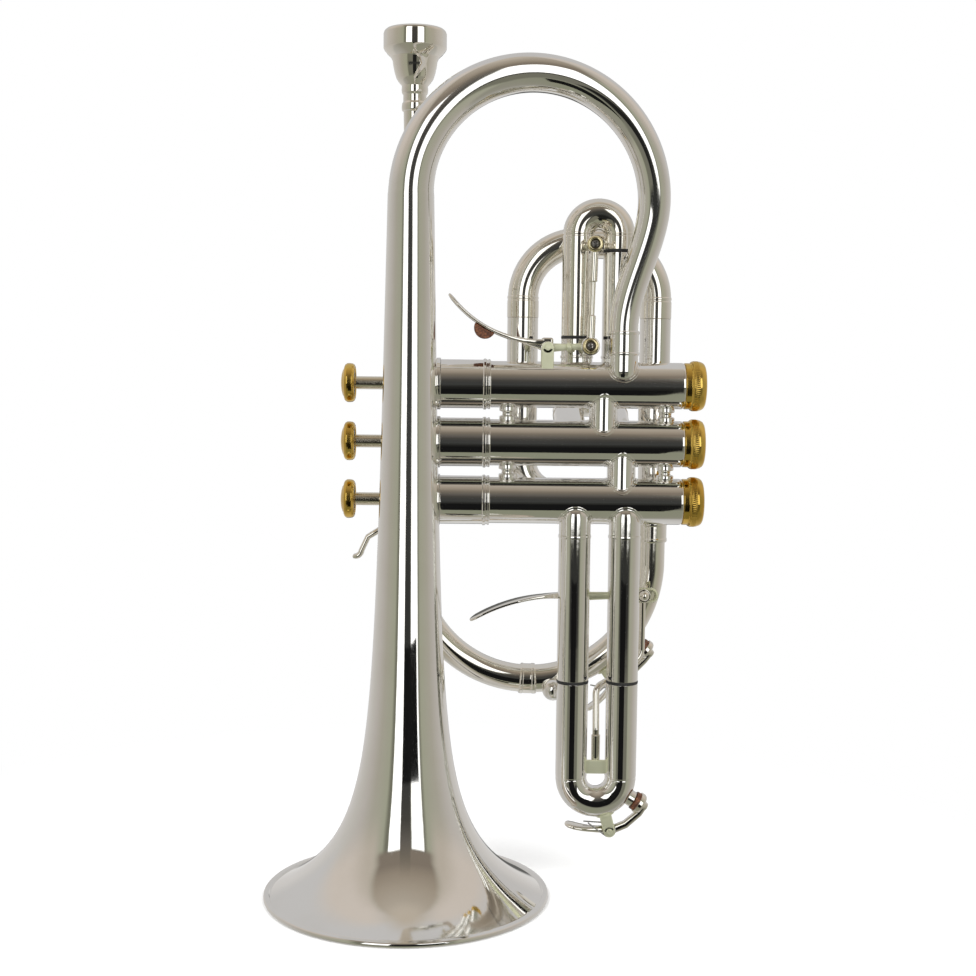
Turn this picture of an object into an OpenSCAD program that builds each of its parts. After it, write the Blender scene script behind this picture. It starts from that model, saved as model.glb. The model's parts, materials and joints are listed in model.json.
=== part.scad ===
// Shepherd's-crook cornet, standing on its bell.
// Millimetres, +Z up. The origin is the centre of the bell rim, on the ground.
// +X runs down the valves from the finger buttons to the bottom caps.
// +Y points from the bell towards the leadpipe.

/* [Bell] */
// Outer diameter of the bell rim
bell_d = 120.65; // [118:0.05:123]
// Thickness of the bell's sheet metal
bell_wall = 0.6; // [0.5:0.1:0.8]
// Height of the seam between the flare and the stem
bell_seam_z = 49; // [40:1:60]
// Outer radius of the stem where the crook begins
stem_top_r = 9.4; // [9.1:0.1:9.7]

/* [Crook] */
// Height at which the straight stem turns into the crook
crook_z = 294; // [290:1:298]
// Radius of the crook's half circle, along its centre line
crook_r = 51; // [50:0.5:52]
// Outer radius of the crook's small end
crook_end_r = 6.1; // [6:0.05:6.2]

/* [Valves] */
// Height of the third valve's axis, the lowest one
valve_low_z = 166.5; // [165:0.5:168]
// Distance between two valve axes
valve_pitch = 25.1; // [24.8:0.1:26]
// Distance of the valve axes behind the bell's axis
valve_y = 26; // [25.5:0.1:26.5]
// Outer radius of a casing's lower part
casing_r = 9.95; // [9.8:0.05:10.1]
// Bore radius of a casing, where the piston runs
casing_bore_r = 8.4; // [8.35:0.05:8.5]
// How far a finger button travels
valve_travel = 16; // [12:0.5:16]

/* [Tubing] */
// Outer radius of the outer slide tubes
outer_r = 6.85; // [6.75:0.05:6.9]
// Outer radius of the inner slide tubes
inner_r = 6.35; // [6.3:0.01:6.36]
// Bore radius of the tubing
bore_r = 5.85; // [5.7:0.05:5.9]
// Distance of the leadpipe and the main tuning slide behind the bell's axis
main_y = 51; // [51:0.5:53]

/* [Hidden] */
$fn = 64;

SILVER = "#d9d6cc";
GOLD = "#c8952c";
CORK = "#8a4a2c";
BLACK = "#1c1c1c";
FELT = "#3b3b40";
STEEL = "#a9adb2";
WHITE = "#e8e6e0";

// Gap left between pieces that slide in one another
running_gap = 0.03;
// How far a cutter passes the face that it cuts
over = 1;

// Bell outline: a straight taper plus a flare that dies out up the stem
bell_r = bell_d / 2;
bead_r = 1.3;
bead_z = 1.25;
bead_x = bell_r - bead_r;
wire_r = 0.8;
rim_lift = 0.8;
stem_taper = 0.0193;
flare_z = 80;
flare_power = 3.877;
flare_r = bell_r - 0.33 - stem_top_r - stem_taper * crook_z;
// How much longer a sloping wall is, measured level, than square to it
function slope(z) = flare_power * flare_r / flare_z
  * pow(1 + (z - rim_lift) / flare_z, -flare_power - 1) + stem_taper;
function bell_outer(z) = stem_top_r + stem_taper * (crook_z - z)
  + flare_r * pow(1 + (z - rim_lift) / flare_z, -flare_power);
function bell_inner(z) = bell_outer(z) - bell_wall * sqrt(1 + pow(slope(z), 2));

// Crook path: a half circle, a gentle S, then straight down into the tail ferrule
tail = [90.4, 21.8];
tail_z = 234;
arc_len = PI * crook_r;
drop_len = crook_z - tail_z;
settle = 7;
crook_len = arc_len + drop_len;
crook_steps = 40;
crook_sides = 18;
function smooth(u) = u * u * (3 - 2 * u);
function crook_x(s) = s < arc_len
  ? crook_r * (1 - cos(180 * s / arc_len))
  : 2 * crook_r + (tail.x - 2 * crook_r)
    * smooth(min(1, (s - arc_len) / (drop_len - settle)));
function crook_h(s) = s < arc_len
  ? crook_z + crook_r * sin(180 * s / arc_len)
  : crook_z - (s - arc_len);
function crook_point(s) = [crook_x(s), tail.y * smooth(s / crook_len), crook_h(s)];
function crook_radius(s) = stem_top_r
  - (stem_top_r - crook_end_r) * pow(s / crook_len, 0.8);

// Valve block
valve_z = [valve_low_z + 2 * valve_pitch, valve_low_z + valve_pitch, valve_low_z];
upper_r = 10.45;
bead_from = 30.6;
bead_to = 33.8;
ledge_x = 33;
upper_bore_r = 9.2;
casing_from = 6;
casing_to = 122.8;
top_cap_from = -6;
top_cap_to = 12.3;
bottom_cap_from = 117.4;
bottom_cap_to = 126.1;
thread_r = 9.3;
button_from = -30.5;
button_to = -24.5;
button_r = 8.4;
button_hollow = 1.9;
stem_r = 2.75;
piston_r = casing_bore_r - 0.05;
piston_from = 3;
port_from = 48;
piston_to = 106;
guide_from = 30;
guide_t = 2.9;

// Where the tubes meet the valves, along the valves
tail_x = tail.x;
tail_lift = 6.3;
knuckle_x = [82.5, 90.7];
knuckle_y = valve_y - 2.2;
knuckle_r = 6.1;
knuckle_bore_r = 5.4;
first_x = [71.6, 89.2];
first_y = 36.2;
second_x = [69.4, 89.2];
second_tilt = 22;
third_x = [70.9, 90.6];
third_y = 21.8;
third_lift = 7.3;

// Main tuning slide, leadpipe and big bow
main_x = [48.2, 107.5];
main_joint_z = 246.1;
main_corner_r = 24.5;
main_corner_z = 254.8;
main_turn_r = 16;
entry_r = main_y - valve_y - casing_r;
entry_x = main_x[0] + main_turn_r + entry_r;
bow_x = 53.4;
bow_z = 136.8;
bow_r = main_x[1] - bow_x;
bow_tube_r = 6.2;
lead_x = bow_x - bow_r;
lead_tube_r = 6.2;
lead_bore_r = 5.6;
lead_joint_angle = 272;
receiver_from = 288;
receiver_to = 322;

// Mouthpiece
shank_end_z = 306.7;
shank_end_r = 4.3;
shank_taper = 0.02;

// First slide and its thumb trigger
first_bow_z = 281.9;
first_low_end = 236.7;
first_high_end = 274.1;
ring_t = 1.2;
trigger_y = 23;
trigger_pivot = [58, 232.5];
trigger_end = [76.3, 233.4];
link_top = [80.2, 277.8];

// Third slide and its finger lever
third_end_z = 88.6;
third_bow_z = 45.4;
lever_y = 33.5;
lever_pivot = [70.9, 123.5];
lever_end = [102.6, 124.2];
link_y = 38.2;

// Water keys: angles are seen from the bow's centre
third_centre = [(third_x[0] + third_x[1]) / 2, third_y, third_bow_z];
third_bow_r = (third_x[1] - third_x[0]) / 2;
third_key_angle = -73;
third_key_r = 24.5;
third_nipple_angle = -31;
third_nipple_to = 19.6;
bow_centre = [bow_x, main_y, bow_z];
bow_key_angle = -55;
bow_key_r = 68;
bow_nipple_angle = -37.6;
bow_nipple_to = 63.4;

// ---- Helpers ----

// Places children, drawn along +Z, so that they start at a and point at b
module along(a, b) {
  d = b - a;
  translate(a) rotate([0, acos(d.z / norm(d)), atan2(d.y, d.x)]) children();
}

module rod(a, b, r) {
  along(a, b) cylinder(r = r, h = norm(b - a));
}

module tube(a, b, ro, ri) {
  h = norm(b - a);
  along(a, b) difference() {
    cylinder(r = ro, h = h);
    translate([0, 0, -over]) cylinder(r = ri, h = h + 2 * over);
  }
}

// A bent tube of centre-line radius R, turning from one angle to another
module bend(R, from, to, ro, ri) {
  rotate([0, 0, from]) rotate_extrude(angle = to - from) translate([R, 0])
    difference() {
      circle(r = ro);
      circle(r = ri);
    }
}

module bent_rod(R, from, to, r) {
  rotate([0, 0, from]) rotate_extrude(angle = to - from) translate([R, 0]) circle(r = r);
}

// Stands a shape drawn in the XY plane up in the XZ plane, centred on c
module upright(c) {
  translate(c) rotate([90, 0, 0]) children();
}

// Draws along valve k's own axis: local +Z is +X, measured from X = 0
module on_valve(k) {
  translate([0, valve_y, valve_z[k]]) rotate([0, 90, 0]) children();
}

// A cylinder on valve k's axis between two places
module valve_cylinder(k, from, to, r) {
  on_valve(k) translate([0, 0, from]) cylinder(r = r, h = to - from);
}

// A cylinder that lies along Y, centred on the point p of the XZ plane
module cross_cylinder(p, y0, y1, r) {
  translate([p.x, y1, p.y]) rotate([90, 0, 0]) cylinder(r = r, h = y1 - y0);
}

// Point at a radius and angle from a centre, in the XZ plane
function polar(c, r, a) = [c.x + r * cos(a), c.y, c.z + r * sin(a)];

// Centre of the circle through three points of a plane
function centre_of(a, b, c) =
  let (
    d = 2 * (a.x * (b.y - c.y) + b.x * (c.y - a.y) + c.x * (a.y - b.y)),
    aa = a * a,
    bb = b * b,
    cc = c * c
  )
  [
    (aa * (b.y - c.y) + bb * (c.y - a.y) + cc * (a.y - b.y)) / d,
    (aa * (c.x - b.x) + bb * (a.x - c.x) + cc * (b.x - a.x)) / d
  ];

// A curved strip of thickness t through three points of the XZ plane
module strip(a, b, c, y0, y1, t) {
  m = centre_of(a, b, c);
  R = norm(a - m);
  raw_a = atan2(a.y - m.y, a.x - m.x);
  raw_c = atan2(c.y - m.y, c.x - m.x);
  from = min(raw_a, raw_c);
  to = max(raw_a, raw_c);
  upright([m.x, y0, m.y]) rotate([0, 0, from]) rotate_extrude(angle = to - from)
    translate([R - t / 2, y0 - y1]) square([t, y1 - y0]);
}

// Cross-section frame of a path that stays near the XZ plane
function unit(v) = v / norm(v);
function ring_at(p, t, r, n) =
  let (u = unit(cross([0, 1, 0], t)), v = cross(t, u))
  [for (i = [0:n - 1]) p + r * (cos(360 * i / n) * u + sin(360 * i / n) * v)];

// Solid swept through rings of n points each; closed end to end or capped
module swept(rings, n) {
  m = len(rings);
  points = [for (ring = rings) each ring];
  sides = [
    for (j = [0:m - 2], i = [0:n - 1])
      let (a = j * n + i, b = j * n + (i + 1) % n)
      each [[a, a + n, b + n], [a, b + n, b]]
  ];
  start = [for (i = [0:n - 1]) i];
  end = [for (i = [n - 1:-1:0]) (m - 1) * n + i];
  polyhedron(points = points, faces = concat(sides, [start, end]), convexity = 6);
}

// The rounded stub of a tube that lands on a casing from above or below. Its round end
// is centred `lift` away from the valve's axis
module landed_stub(x, y, z, end_z, ro, lift = 0) {
  start = z + (end_z > z ? lift : -lift);
  rod([x, y, start], [x, y, end_z], ro);
  translate([x, y, start]) sphere(r = ro + 0.1);
}

module landed_bore(x, y, z, end_z, r, lift = 0) {
  start = z + (end_z > z ? lift : -lift);
  far = end_z + (end_z > z ? over : -over);
  rod([x, y, start], [x, y, far], r);
  if (lift > 0) translate([x, y, start]) sphere(r = r + 0.1);
}

// Puts the second slide's own frame on valve 2: local +Y runs out of the valve
module on_second() {
  translate([0, valve_y, valve_z[1]]) rotate([second_tilt, 0, 0]) children();
}

// ---- Bell ----

module bell_flare() {
  steps = 28;
  heights = [for (i = [0:steps]) bead_z + (bell_seam_z - bead_z) * pow(i / steps, 1.7)];
  color(SILVER) rotate_extrude($fn = 128) difference() {
    union() {
      polygon(concat(
        [for (z = heights) [bell_outer(z), z]],
        [for (i = [steps:-1:0]) [bell_inner(heights[i]), heights[i]]]
      ));
      translate([bead_x, bead_z]) circle(r = bead_r);
    }
    translate([bead_x, bead_z]) circle(r = wire_r + 0.01);
    translate([0, -10]) square([bell_d, 10]);
  }
}

module bell_rim_wire() {
  color(STEEL) translate([0, 0, bead_z]) rotate_extrude($fn = 128)
    translate([bead_x, 0]) circle(r = wire_r, $fn = 32);
}

module bell_stem() {
  steps = 24;
  heights = [
    for (i = [0:steps]) bell_seam_z + (crook_z - bell_seam_z) * pow(i / steps, 1.3)
  ];
  color(SILVER) rotate_extrude($fn = 96) polygon(concat(
    [for (z = heights) [bell_outer(z), z]],
    [for (i = [steps:-1:0]) [bell_inner(heights[i]), heights[i]]]
  ));
}

module bell_crook() {
  step = crook_len / crook_steps;
  tiny = 0.01;
  color(SILVER) difference() {
    swept([
      for (i = [0:crook_steps]) let (s = i * step)
        ring_at(crook_point(s), unit(crook_point(s + tiny) - crook_point(s - tiny)),
          crook_radius(min(s, crook_len)), crook_sides)
    ], crook_sides);
    swept([
      for (i = [-1:crook_steps + 1]) let (s = min(max(i * step, -over), crook_len + over))
        ring_at(crook_point(s), unit(crook_point(s + tiny) - crook_point(s - tiny)),
          crook_radius(min(max(s, 0), crook_len)) - bell_wall, crook_sides)
    ], crook_sides);
  }
}

module tail_ferrule() {
  color(SILVER) difference() {
    union() {
      landed_stub(tail.x, tail.y, valve_z[0], 230, outer_r - 0.35, tail_lift);
      rod([tail.x, tail.y, 229.5], [tail.x, tail.y, 240], outer_r);
    }
    valve_cylinder(0, 60, 110, casing_r);
    landed_bore(tail.x, tail.y, valve_z[0], 240, crook_end_r - bell_wall, tail_lift);
    rod([tail.x, tail.y, tail_z], [tail.x, tail.y, 241], crook_end_r + 0.25);
  }
}

// ---- Valves ----

// Everything that opens into casing k, drawn as cutters
module port_bores(k) {
  if (k == 0) {
    landed_bore(tail.x, tail.y, valve_z[0], 230, crook_end_r - bell_wall, tail_lift);
    for (x = first_x) landed_bore(x, first_y, valve_z[0], 230, bore_r);
  }
  if (k <= 1) landed_bore(knuckle_x[0], knuckle_y, valve_z[k],
    valve_z[k] + (k == 0 ? -12 : 12), knuckle_bore_r);
  if (k >= 1) landed_bore(knuckle_x[1], knuckle_y, valve_z[k],
    valve_z[k] + (k == 1 ? -12 : 12), knuckle_bore_r);
  if (k == 1)
    on_second() for (x = second_x) rod([x, 0, 0], [x, 12, 0], bore_r);
  if (k == 2) {
    for (x = third_x) landed_bore(x, third_y, valve_z[2], 150, bore_r, third_lift);
    rod([entry_x, valve_y, valve_z[2]], [entry_x, valve_y + 12, valve_z[2]], bore_r);
  }
}

module casing(k) {
  color(SILVER) difference() {
    union() {
      valve_cylinder(k, casing_from, top_cap_to, thread_r + 0.6);
      valve_cylinder(k, top_cap_to, bead_from, upper_r);
      on_valve(k) rotate_extrude() polygon([
        [0, bead_from], [upper_r, bead_from], [upper_r + 0.45, bead_from + 0.8],
        [upper_r + 0.3, bead_from + 1.6], [upper_r - 0.1, bead_to - 0.9],
        [casing_r, bead_to], [0, bead_to]
      ]);
      valve_cylinder(k, bead_to, bottom_cap_from, casing_r);
      valve_cylinder(k, bottom_cap_from, casing_to, thread_r);
    }
    valve_cylinder(k, casing_from - over, ledge_x, upper_bore_r);
    valve_cylinder(k, 20, casing_to + over, casing_bore_r);
    port_bores(k);
  }
}

module casing_knuckles() {
  color(SILVER) for (k = [0, 1]) difference() {
    rod([knuckle_x[k], knuckle_y, valve_z[k + 1]], [knuckle_x[k], knuckle_y, valve_z[k]],
      knuckle_r);
    rod([knuckle_x[k], knuckle_y, valve_z[k + 1] - over],
      [knuckle_x[k], knuckle_y, valve_z[k] + over], knuckle_bore_r);
    for (c = [k, k + 1]) valve_cylinder(c, 60, 110, casing_r);
  }
}

module casing_braces() {
  color(SILVER) for (k = [0, 1], x = [41.4, 109.9]) {
    middle = (valve_z[k] + valve_z[k + 1]) / 2;
    difference() {
      union() {
        translate([x, valve_y, middle - 3.4]) cylinder(r = 2, h = 6.8);
        translate([x, valve_y, middle - 0.8]) cylinder(r = 2.7, h = 1.6);
        for (end = [-1, 1]) translate([x, valve_y, middle + end * 2.9 - 0.9])
          cylinder(r = 3.4, h = 1.8);
      }
      for (c = [k, k + 1]) valve_cylinder(c, 30, 116, casing_r);
    }
  }
}

module top_cap(k) {
  color(SILVER) on_valve(k) rotate_extrude() polygon([
    [stem_r + 0.25, top_cap_from], [8.2, top_cap_from], [9.6, top_cap_from + 0.7],
    [10.6, top_cap_from + 2.4], [10.6, top_cap_to - 2], [11.1, top_cap_to - 1.6],
    [11.1, top_cap_to], [thread_r + 0.63, top_cap_to], [thread_r + 0.63, casing_from - 0.1],
    [8.6, casing_from - 0.1], [8.6, top_cap_from + 3.5], [stem_r + 0.25, top_cap_from + 3.5]
  ]);
}

module bottom_cap(k) {
  color(GOLD) on_valve(k) rotate_extrude() polygon([
    [0.9, bottom_cap_to - 1.7], [8.3, bottom_cap_to - 1.7], [8.9, bottom_cap_to - 2.5],
    [thread_r + 0.02, bottom_cap_to - 3.2], [thread_r + 0.02, bottom_cap_from],
    [casing_r, bottom_cap_from], [casing_r, bottom_cap_from + 2.4],
    [10.75, bottom_cap_from + 3.2], [10.75, bottom_cap_to - 2.6],
    [9.8, bottom_cap_to - 0.5], [9.2, bottom_cap_to], [3.4, bottom_cap_to],
    [3, bottom_cap_to - 0.4], [0.9, bottom_cap_to - 0.4]
  ]);
}

module valve_guides() {
  color(WHITE) for (k = [0:2]) difference() {
    intersection() {
      valve_cylinder(k, guide_from, guide_from + guide_t, upper_bore_r - 0.05);
      union() {
        valve_cylinder(k, guide_from, guide_from + guide_t, 7.2);
        translate([guide_from, valve_y - 12, valve_z[k] - 2]) cube([guide_t, 24, 4]);
      }
    }
    valve_cylinder(k, guide_from - over, guide_from + guide_t + over, 3.2);
  }
}

// Straight passages through each piston: [X offset, Y, Z] at both ends from its axis
passages = [
  [
    [[knuckle_x[0], -2.2, -9], [tail.x, -4.2, 9]],
    [[knuckle_x[0] - valve_travel, -2.2, -9], [first_x[0] - valve_travel, 6, 9]]
  ],
  [
    [[knuckle_x[0], -2.2, 9], [knuckle_x[1], -2.2, -9]],
    [[knuckle_x[0] - valve_travel, -2.2, 9], [second_x[0] - valve_travel, 9, 3]]
  ],
  [
    [[entry_x, 9, 0], [knuckle_x[1], -2.2, 9]],
    [[entry_x - valve_travel, 9, 0], [third_x[0] - valve_travel, -4.2, -9]]
  ]
];

module piston(k) {
  axis = [0, valve_y, valve_z[k]];
  color(STEEL) difference() {
    union() {
      difference() {
        valve_cylinder(k, piston_from, piston_to, piston_r);
        valve_cylinder(k, piston_from + 1.5, port_from, piston_r - 0.9);
        valve_cylinder(k, port_from + 1.5, piston_to - 1.5, piston_r - 0.8);
        translate([guide_from - valve_travel - 0.7, valve_y - 12, valve_z[k] - 2.2])
          cube([valve_travel + guide_t + 1.4, 24, 4.4]);
      }
      intersection() {
        valve_cylinder(k, port_from, piston_to, piston_r - 0.4);
        for (p = passages[k]) rod(axis + p[0], axis + p[1], knuckle_bore_r + 0.5);
      }
    }
    for (p = passages[k]) rod(axis + 1.2 * p[0] - 0.2 * p[1], axis + 1.2 * p[1] - 0.2 * p[0],
      knuckle_bore_r);
  }
}

module stem(k) {
  color(SILVER) valve_cylinder(k, button_to - button_hollow, piston_from, stem_r);
}

module button(k) {
  color(GOLD) on_valve(k) rotate_extrude() polygon([
    [0, button_from], [3.2, button_from + 0.15], [5.6, button_from + 0.65],
    [6.3, button_from + 1.1], [7.4, button_from + 1.3], [8.1, button_from + 1.9],
    [button_r, button_from + 2.8], [button_r, button_to - 1.2], [7.9, button_to - 0.4],
    [7.0, button_to], [6.3, button_to], [6.1, button_to - button_hollow],
    [0, button_to - button_hollow]
  ]);
}

module felts(k) {
  color(FELT) difference() {
    union() {
      valve_cylinder(k, button_to - button_hollow, button_to - 0.4, 6);
      valve_cylinder(k, top_cap_from + 3.6, piston_from, 7.2);
    }
    valve_cylinder(k, button_to - button_hollow - over, piston_from + over, stem_r + 0.01);
  }
}

// Return spring between the piston's lid and the guide
module spring(k) {
  wire = 0.36;
  coil_r = 5.2;
  turns = 8;
  per_turn = 14;
  from = piston_from + 1.5 + wire + 0.02;
  to = guide_from - wire - 0.02;
  sides = 6;
  steps = turns * per_turn;
  function at(a) = [coil_r * cos(a), coil_r * sin(a), from + (to - from) * a / (360 * turns)];
  color(STEEL) on_valve(k) swept([
    for (i = [0:steps]) let (
      a = 360 * turns * i / steps,
      out = [cos(a), sin(a), 0]
    )
    [for (j = [0:sides - 1]) at(a)
      + wire * (cos(360 * j / sides) * out + sin(360 * j / sides) * [0, 0, 1])]
  ], sides);
}

// ---- Leadpipe side ----

module mouthpiece() {
  z = shank_end_z;
  color(SILVER) translate([lead_x, main_y, 0]) rotate_extrude() polygon([
    [shank_end_r, z], [shank_end_r + shank_taper * 29, z + 29], [5.6, 336.2], [5.75, 337.6],
    [5.6, 339.2], [5.1, 340], [5.1, 343], [5.7, 343.8], [5.85, 345.3], [5.7, 346.8],
    [6.1, 347.4], [7.2, 348.7], [8.2, 350.2], [8.9, 352.5], [9.5, 355.2], [10.1, 357.4],
    [11.4, 358.6], [12.6, 359.8], [13.2, 361.4], [13.35, 364], [13.3, 366.5],
    [12.9, 368.6], [12, 370], [10.9, 370.6], [9.8, 370.2], [8.9, 369.1], [8.2, 367.4],
    [7.6, 363], [6.4, 358.5], [4.6, 354.8], [2.6, 352.4], [1.85, 350], [1.85, 345],
    [2.6, 330], [3.7, z]
  ]);
}

module mouthpiece_receiver() {
  d = receiver_to - shank_end_z;
  color(SILVER) translate([lead_x, main_y, 0]) rotate_extrude() polygon([
    [lead_tube_r, receiver_from], [6.9, receiver_from], [7.2, receiver_from + 1],
    [6.7, receiver_from + 2.4], [6.7, receiver_to - 5], [7.3, receiver_to - 4.4],
    [7.5, receiver_to - 2.6], [7.3, receiver_to - 0.6], [6.8, receiver_to],
    [shank_end_r + shank_taper * d + 0.03, receiver_to],
    [shank_end_r - shank_taper * 6 + 0.03, shank_end_z - 6],
    [lead_tube_r, shank_end_z - 6]
  ]);
}

module leadpipe() {
  color(SILVER) {
    tube([lead_x, main_y, bow_z], [lead_x, main_y, shank_end_z - 6], lead_tube_r, lead_bore_r);
    upright(bow_centre) bend(bow_r, 180, lead_joint_angle, lead_tube_r, lead_bore_r);
  }
}

module leadpipe_bow() {
  color(SILVER) {
    difference() {
      upright(bow_centre) bend(bow_r, lead_joint_angle, 360, bow_tube_r, lead_bore_r);
      rod(polar(bow_centre, bow_r, bow_nipple_angle), polar(bow_centre, 66, bow_nipple_angle),
        1.4);
    }
    tube([main_x[1], main_y, bow_z], [main_x[1], main_y, 152], bow_tube_r + 0.05,
      lead_bore_r - 0.05);
  }
}

function flat(p) = [p.x, p.z];

// One cheek of a water key's saddle: side is -1 in front and 1 behind
module key_cheek(c, angle, from, to, side) {
  upright(c) rotate([0, 0, angle]) translate([from, -2, -side * 3.3 - 0.6])
    cube([to - from, 4, 1.2]);
  upright(c) rotate([0, 0, angle]) translate([to, 0, -side * 3.3 - 0.6])
    cylinder(r = 2, h = 1.2);
}

// Two ferrules, and the water key's nipple and saddle
module bow_fittings() {
  pin = flat(polar(bow_centre, bow_key_r, bow_key_angle));
  color(SILVER) {
    upright(bow_centre) bend(bow_r, lead_joint_angle - 7, lead_joint_angle + 1.5,
      outer_r + 0.05, bow_tube_r);
    difference() {
      rod([main_x[1], main_y, 146], [main_x[1], main_y, 155], outer_r + 0.25);
      rod([main_x[1], main_y, 145], [main_x[1], main_y, 152], bow_tube_r + 0.05);
      rod([main_x[1], main_y, 151], [main_x[1], main_y, 156], outer_r - 0.45);
    }
    difference() {
      rod(polar(bow_centre, bow_r, bow_nipple_angle),
        polar(bow_centre, bow_nipple_to, bow_nipple_angle), 3.2);
      upright(bow_centre) bent_rod(bow_r, 300, 345, bow_tube_r);
      rod(polar(bow_centre, bow_r, bow_nipple_angle), polar(bow_centre, 66, bow_nipple_angle),
        1.4);
    }
    difference() {
      for (side = [-1, 1]) key_cheek(bow_centre, bow_key_angle, bow_r + 3.8, bow_key_r, side);
      upright(bow_centre) bent_rod(bow_r, 290, 320, bow_tube_r);
    }
    cross_cylinder(pin, main_y - 4.4, main_y + 4.4, 0.8);
  }
}

module pinky_hook() {
  hook_z = 151;
  turn = [-12.5, hook_z - 14];
  color(SILVER) difference() {
    union() {
      rod([lead_x, main_y, hook_z], [turn.x, main_y, hook_z], 1.5);
      upright([turn.x, main_y, turn.y]) bent_rod(14, 90, 172, 1.5);
      upright([turn.x - 16.8, main_y, turn.y + 1.56]) bent_rod(3, 250, 352, 1.5);
    }
    rod([lead_x, main_y, hook_z - 10], [lead_x, main_y, hook_z + 10], lead_tube_r);
  }
}

// Struts between the bell, the valves and the leadpipe, and the knob on the bow
module body_braces() {
  color(SILVER) difference() {
    union() {
      rod([0, 4, 268], [lead_x, main_y, 268], 2.2);
      rod([lead_x, main_y, 212], [main_x[0], main_y, 212], 2.2);
      for (x = main_x) rod([x, valve_y, valve_z[0]], [x, main_y, valve_z[0]], 2.2);
      rod([30, valve_y, valve_z[2]], [lead_x, main_y, valve_z[2]], 2.2);
      rod([63.7, 43.8, 79.5], [63.7, main_y, 83.7], 2.2);
      translate([63.7, 43.2, 79.3]) sphere(r = 4.85);
    }
    for (k = [0:2]) {
      valve_cylinder(k, 10, bead_from, upper_r);
      valve_cylinder(k, bead_from - over, 115, casing_r);
    }
    translate([0, 0, 260]) cylinder(r = bell_outer(264), h = 16);
    rod([lead_x, main_y, 150], [lead_x, main_y, 280], lead_tube_r);
    for (x = main_x) rod([x, main_y, 190], [x, main_y, 230], outer_r);
    upright(bow_centre) bent_rod(bow_r, 260, 300, bow_tube_r);
  }
}

// ---- Main tuning slide ----

module main_outer_left() {
  x = main_x[0];
  turn_z = valve_z[2] + main_turn_r;
  color(SILVER) {
    tube([x, main_y, turn_z], [x, main_y, main_joint_z], outer_r, inner_r + running_gap);
    difference() {
      union() {
        upright([x + main_turn_r, main_y, turn_z])
          bend(main_turn_r, 180, 270, outer_r, bore_r);
        translate([x + main_turn_r, main_y - entry_r, valve_z[2]])
          bend(entry_r, 0, 90, outer_r, bore_r);
        tube([entry_x, main_y - entry_r, valve_z[2]], [entry_x, valve_y + 3, valve_z[2]],
          outer_r, bore_r);
      }
      valve_cylinder(2, 60, 100, casing_r);
    }
  }
}

module main_outer_right() {
  x = main_x[1];
  color(SILVER) {
    tube([x, main_y, 152], [x, main_y, 180], outer_r - 0.45, bore_r);
    tube([x, main_y, 180], [x, main_y, main_joint_z], outer_r, inner_r + running_gap);
  }
}

module main_slide() {
  top_z = main_corner_z + main_corner_r;
  left = main_x[0] + main_corner_r;
  right = main_x[1] - main_corner_r;
  tube_r = outer_r - 0.1;
  color(SILVER) {
    for (x = main_x) {
      tube([x, main_y, 196], [x, main_y, main_corner_z], inner_r, bore_r);
      tube([x, main_y, main_joint_z + 0.1], [x, main_y, main_corner_z], outer_r + 0.15, inner_r);
    }
    upright([left, main_y, main_corner_z]) bend(main_corner_r, 90, 180, tube_r, bore_r);
    upright([right, main_y, main_corner_z]) bend(main_corner_r, 0, 90, tube_r, bore_r);
    tube([left, main_y, top_z], [right, main_y, top_z], tube_r, bore_r);
  }
}

// ---- First slide ----

module first_outer_tubes() {
  ends = [first_low_end, first_high_end];
  color(SILVER) for (i = [0, 1]) difference() {
    landed_stub(first_x[i], first_y, valve_z[0], ends[i], outer_r);
    landed_bore(first_x[i], first_y, valve_z[0], ends[i], bore_r);
    rod([first_x[i], first_y, 225], [first_x[i], first_y, ends[i] + over],
      inner_r + running_gap);
    valve_cylinder(0, 50, 110, casing_r);
  }
}

module first_slide() {
  bow_x1 = (first_x[0] + first_x[1]) / 2;
  R = (first_x[1] - first_x[0]) / 2;
  ferrule_from = first_high_end + ring_t + 0.1;
  color(SILVER) {
    for (x = first_x) {
      tube([x, first_y, 227], [x, first_y, first_bow_z], inner_r, bore_r);
      tube([x, first_y, ferrule_from], [x, first_y, first_bow_z], outer_r, inner_r);
    }
    upright([bow_x1, first_y, first_bow_z]) bend(R, 0, 180, outer_r - 0.1, bore_r);
    // bridge that carries the trigger link
    difference() {
      union() {
        translate([first_x[0], first_y - 1.2, ferrule_from]) cube([2 * R, 2.4, 4.4]);
        rod([link_top.x, first_y, link_top.y], [link_top.x, trigger_y + 2, link_top.y], 2);
      }
      for (x = first_x) rod([x, first_y, 270], [x, first_y, 290], inner_r);
    }
  }
}

module first_trigger_bracket() {
  p = trigger_pivot;
  color(SILVER) {
    difference() {
      for (y = [trigger_y - 4.1, trigger_y + 2.6]) {
        translate([p.x - 2.6, y, valve_z[0]]) cube([5.2, 1.5, p.y - valve_z[0]]);
        cross_cylinder(p, y, y + 1.5, 2.6);
      }
      valve_cylinder(0, 50, 66, casing_r);
    }
    cross_cylinder(p, trigger_y - 4.6, trigger_y + 4.6, 1.2);
  }
}

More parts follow.
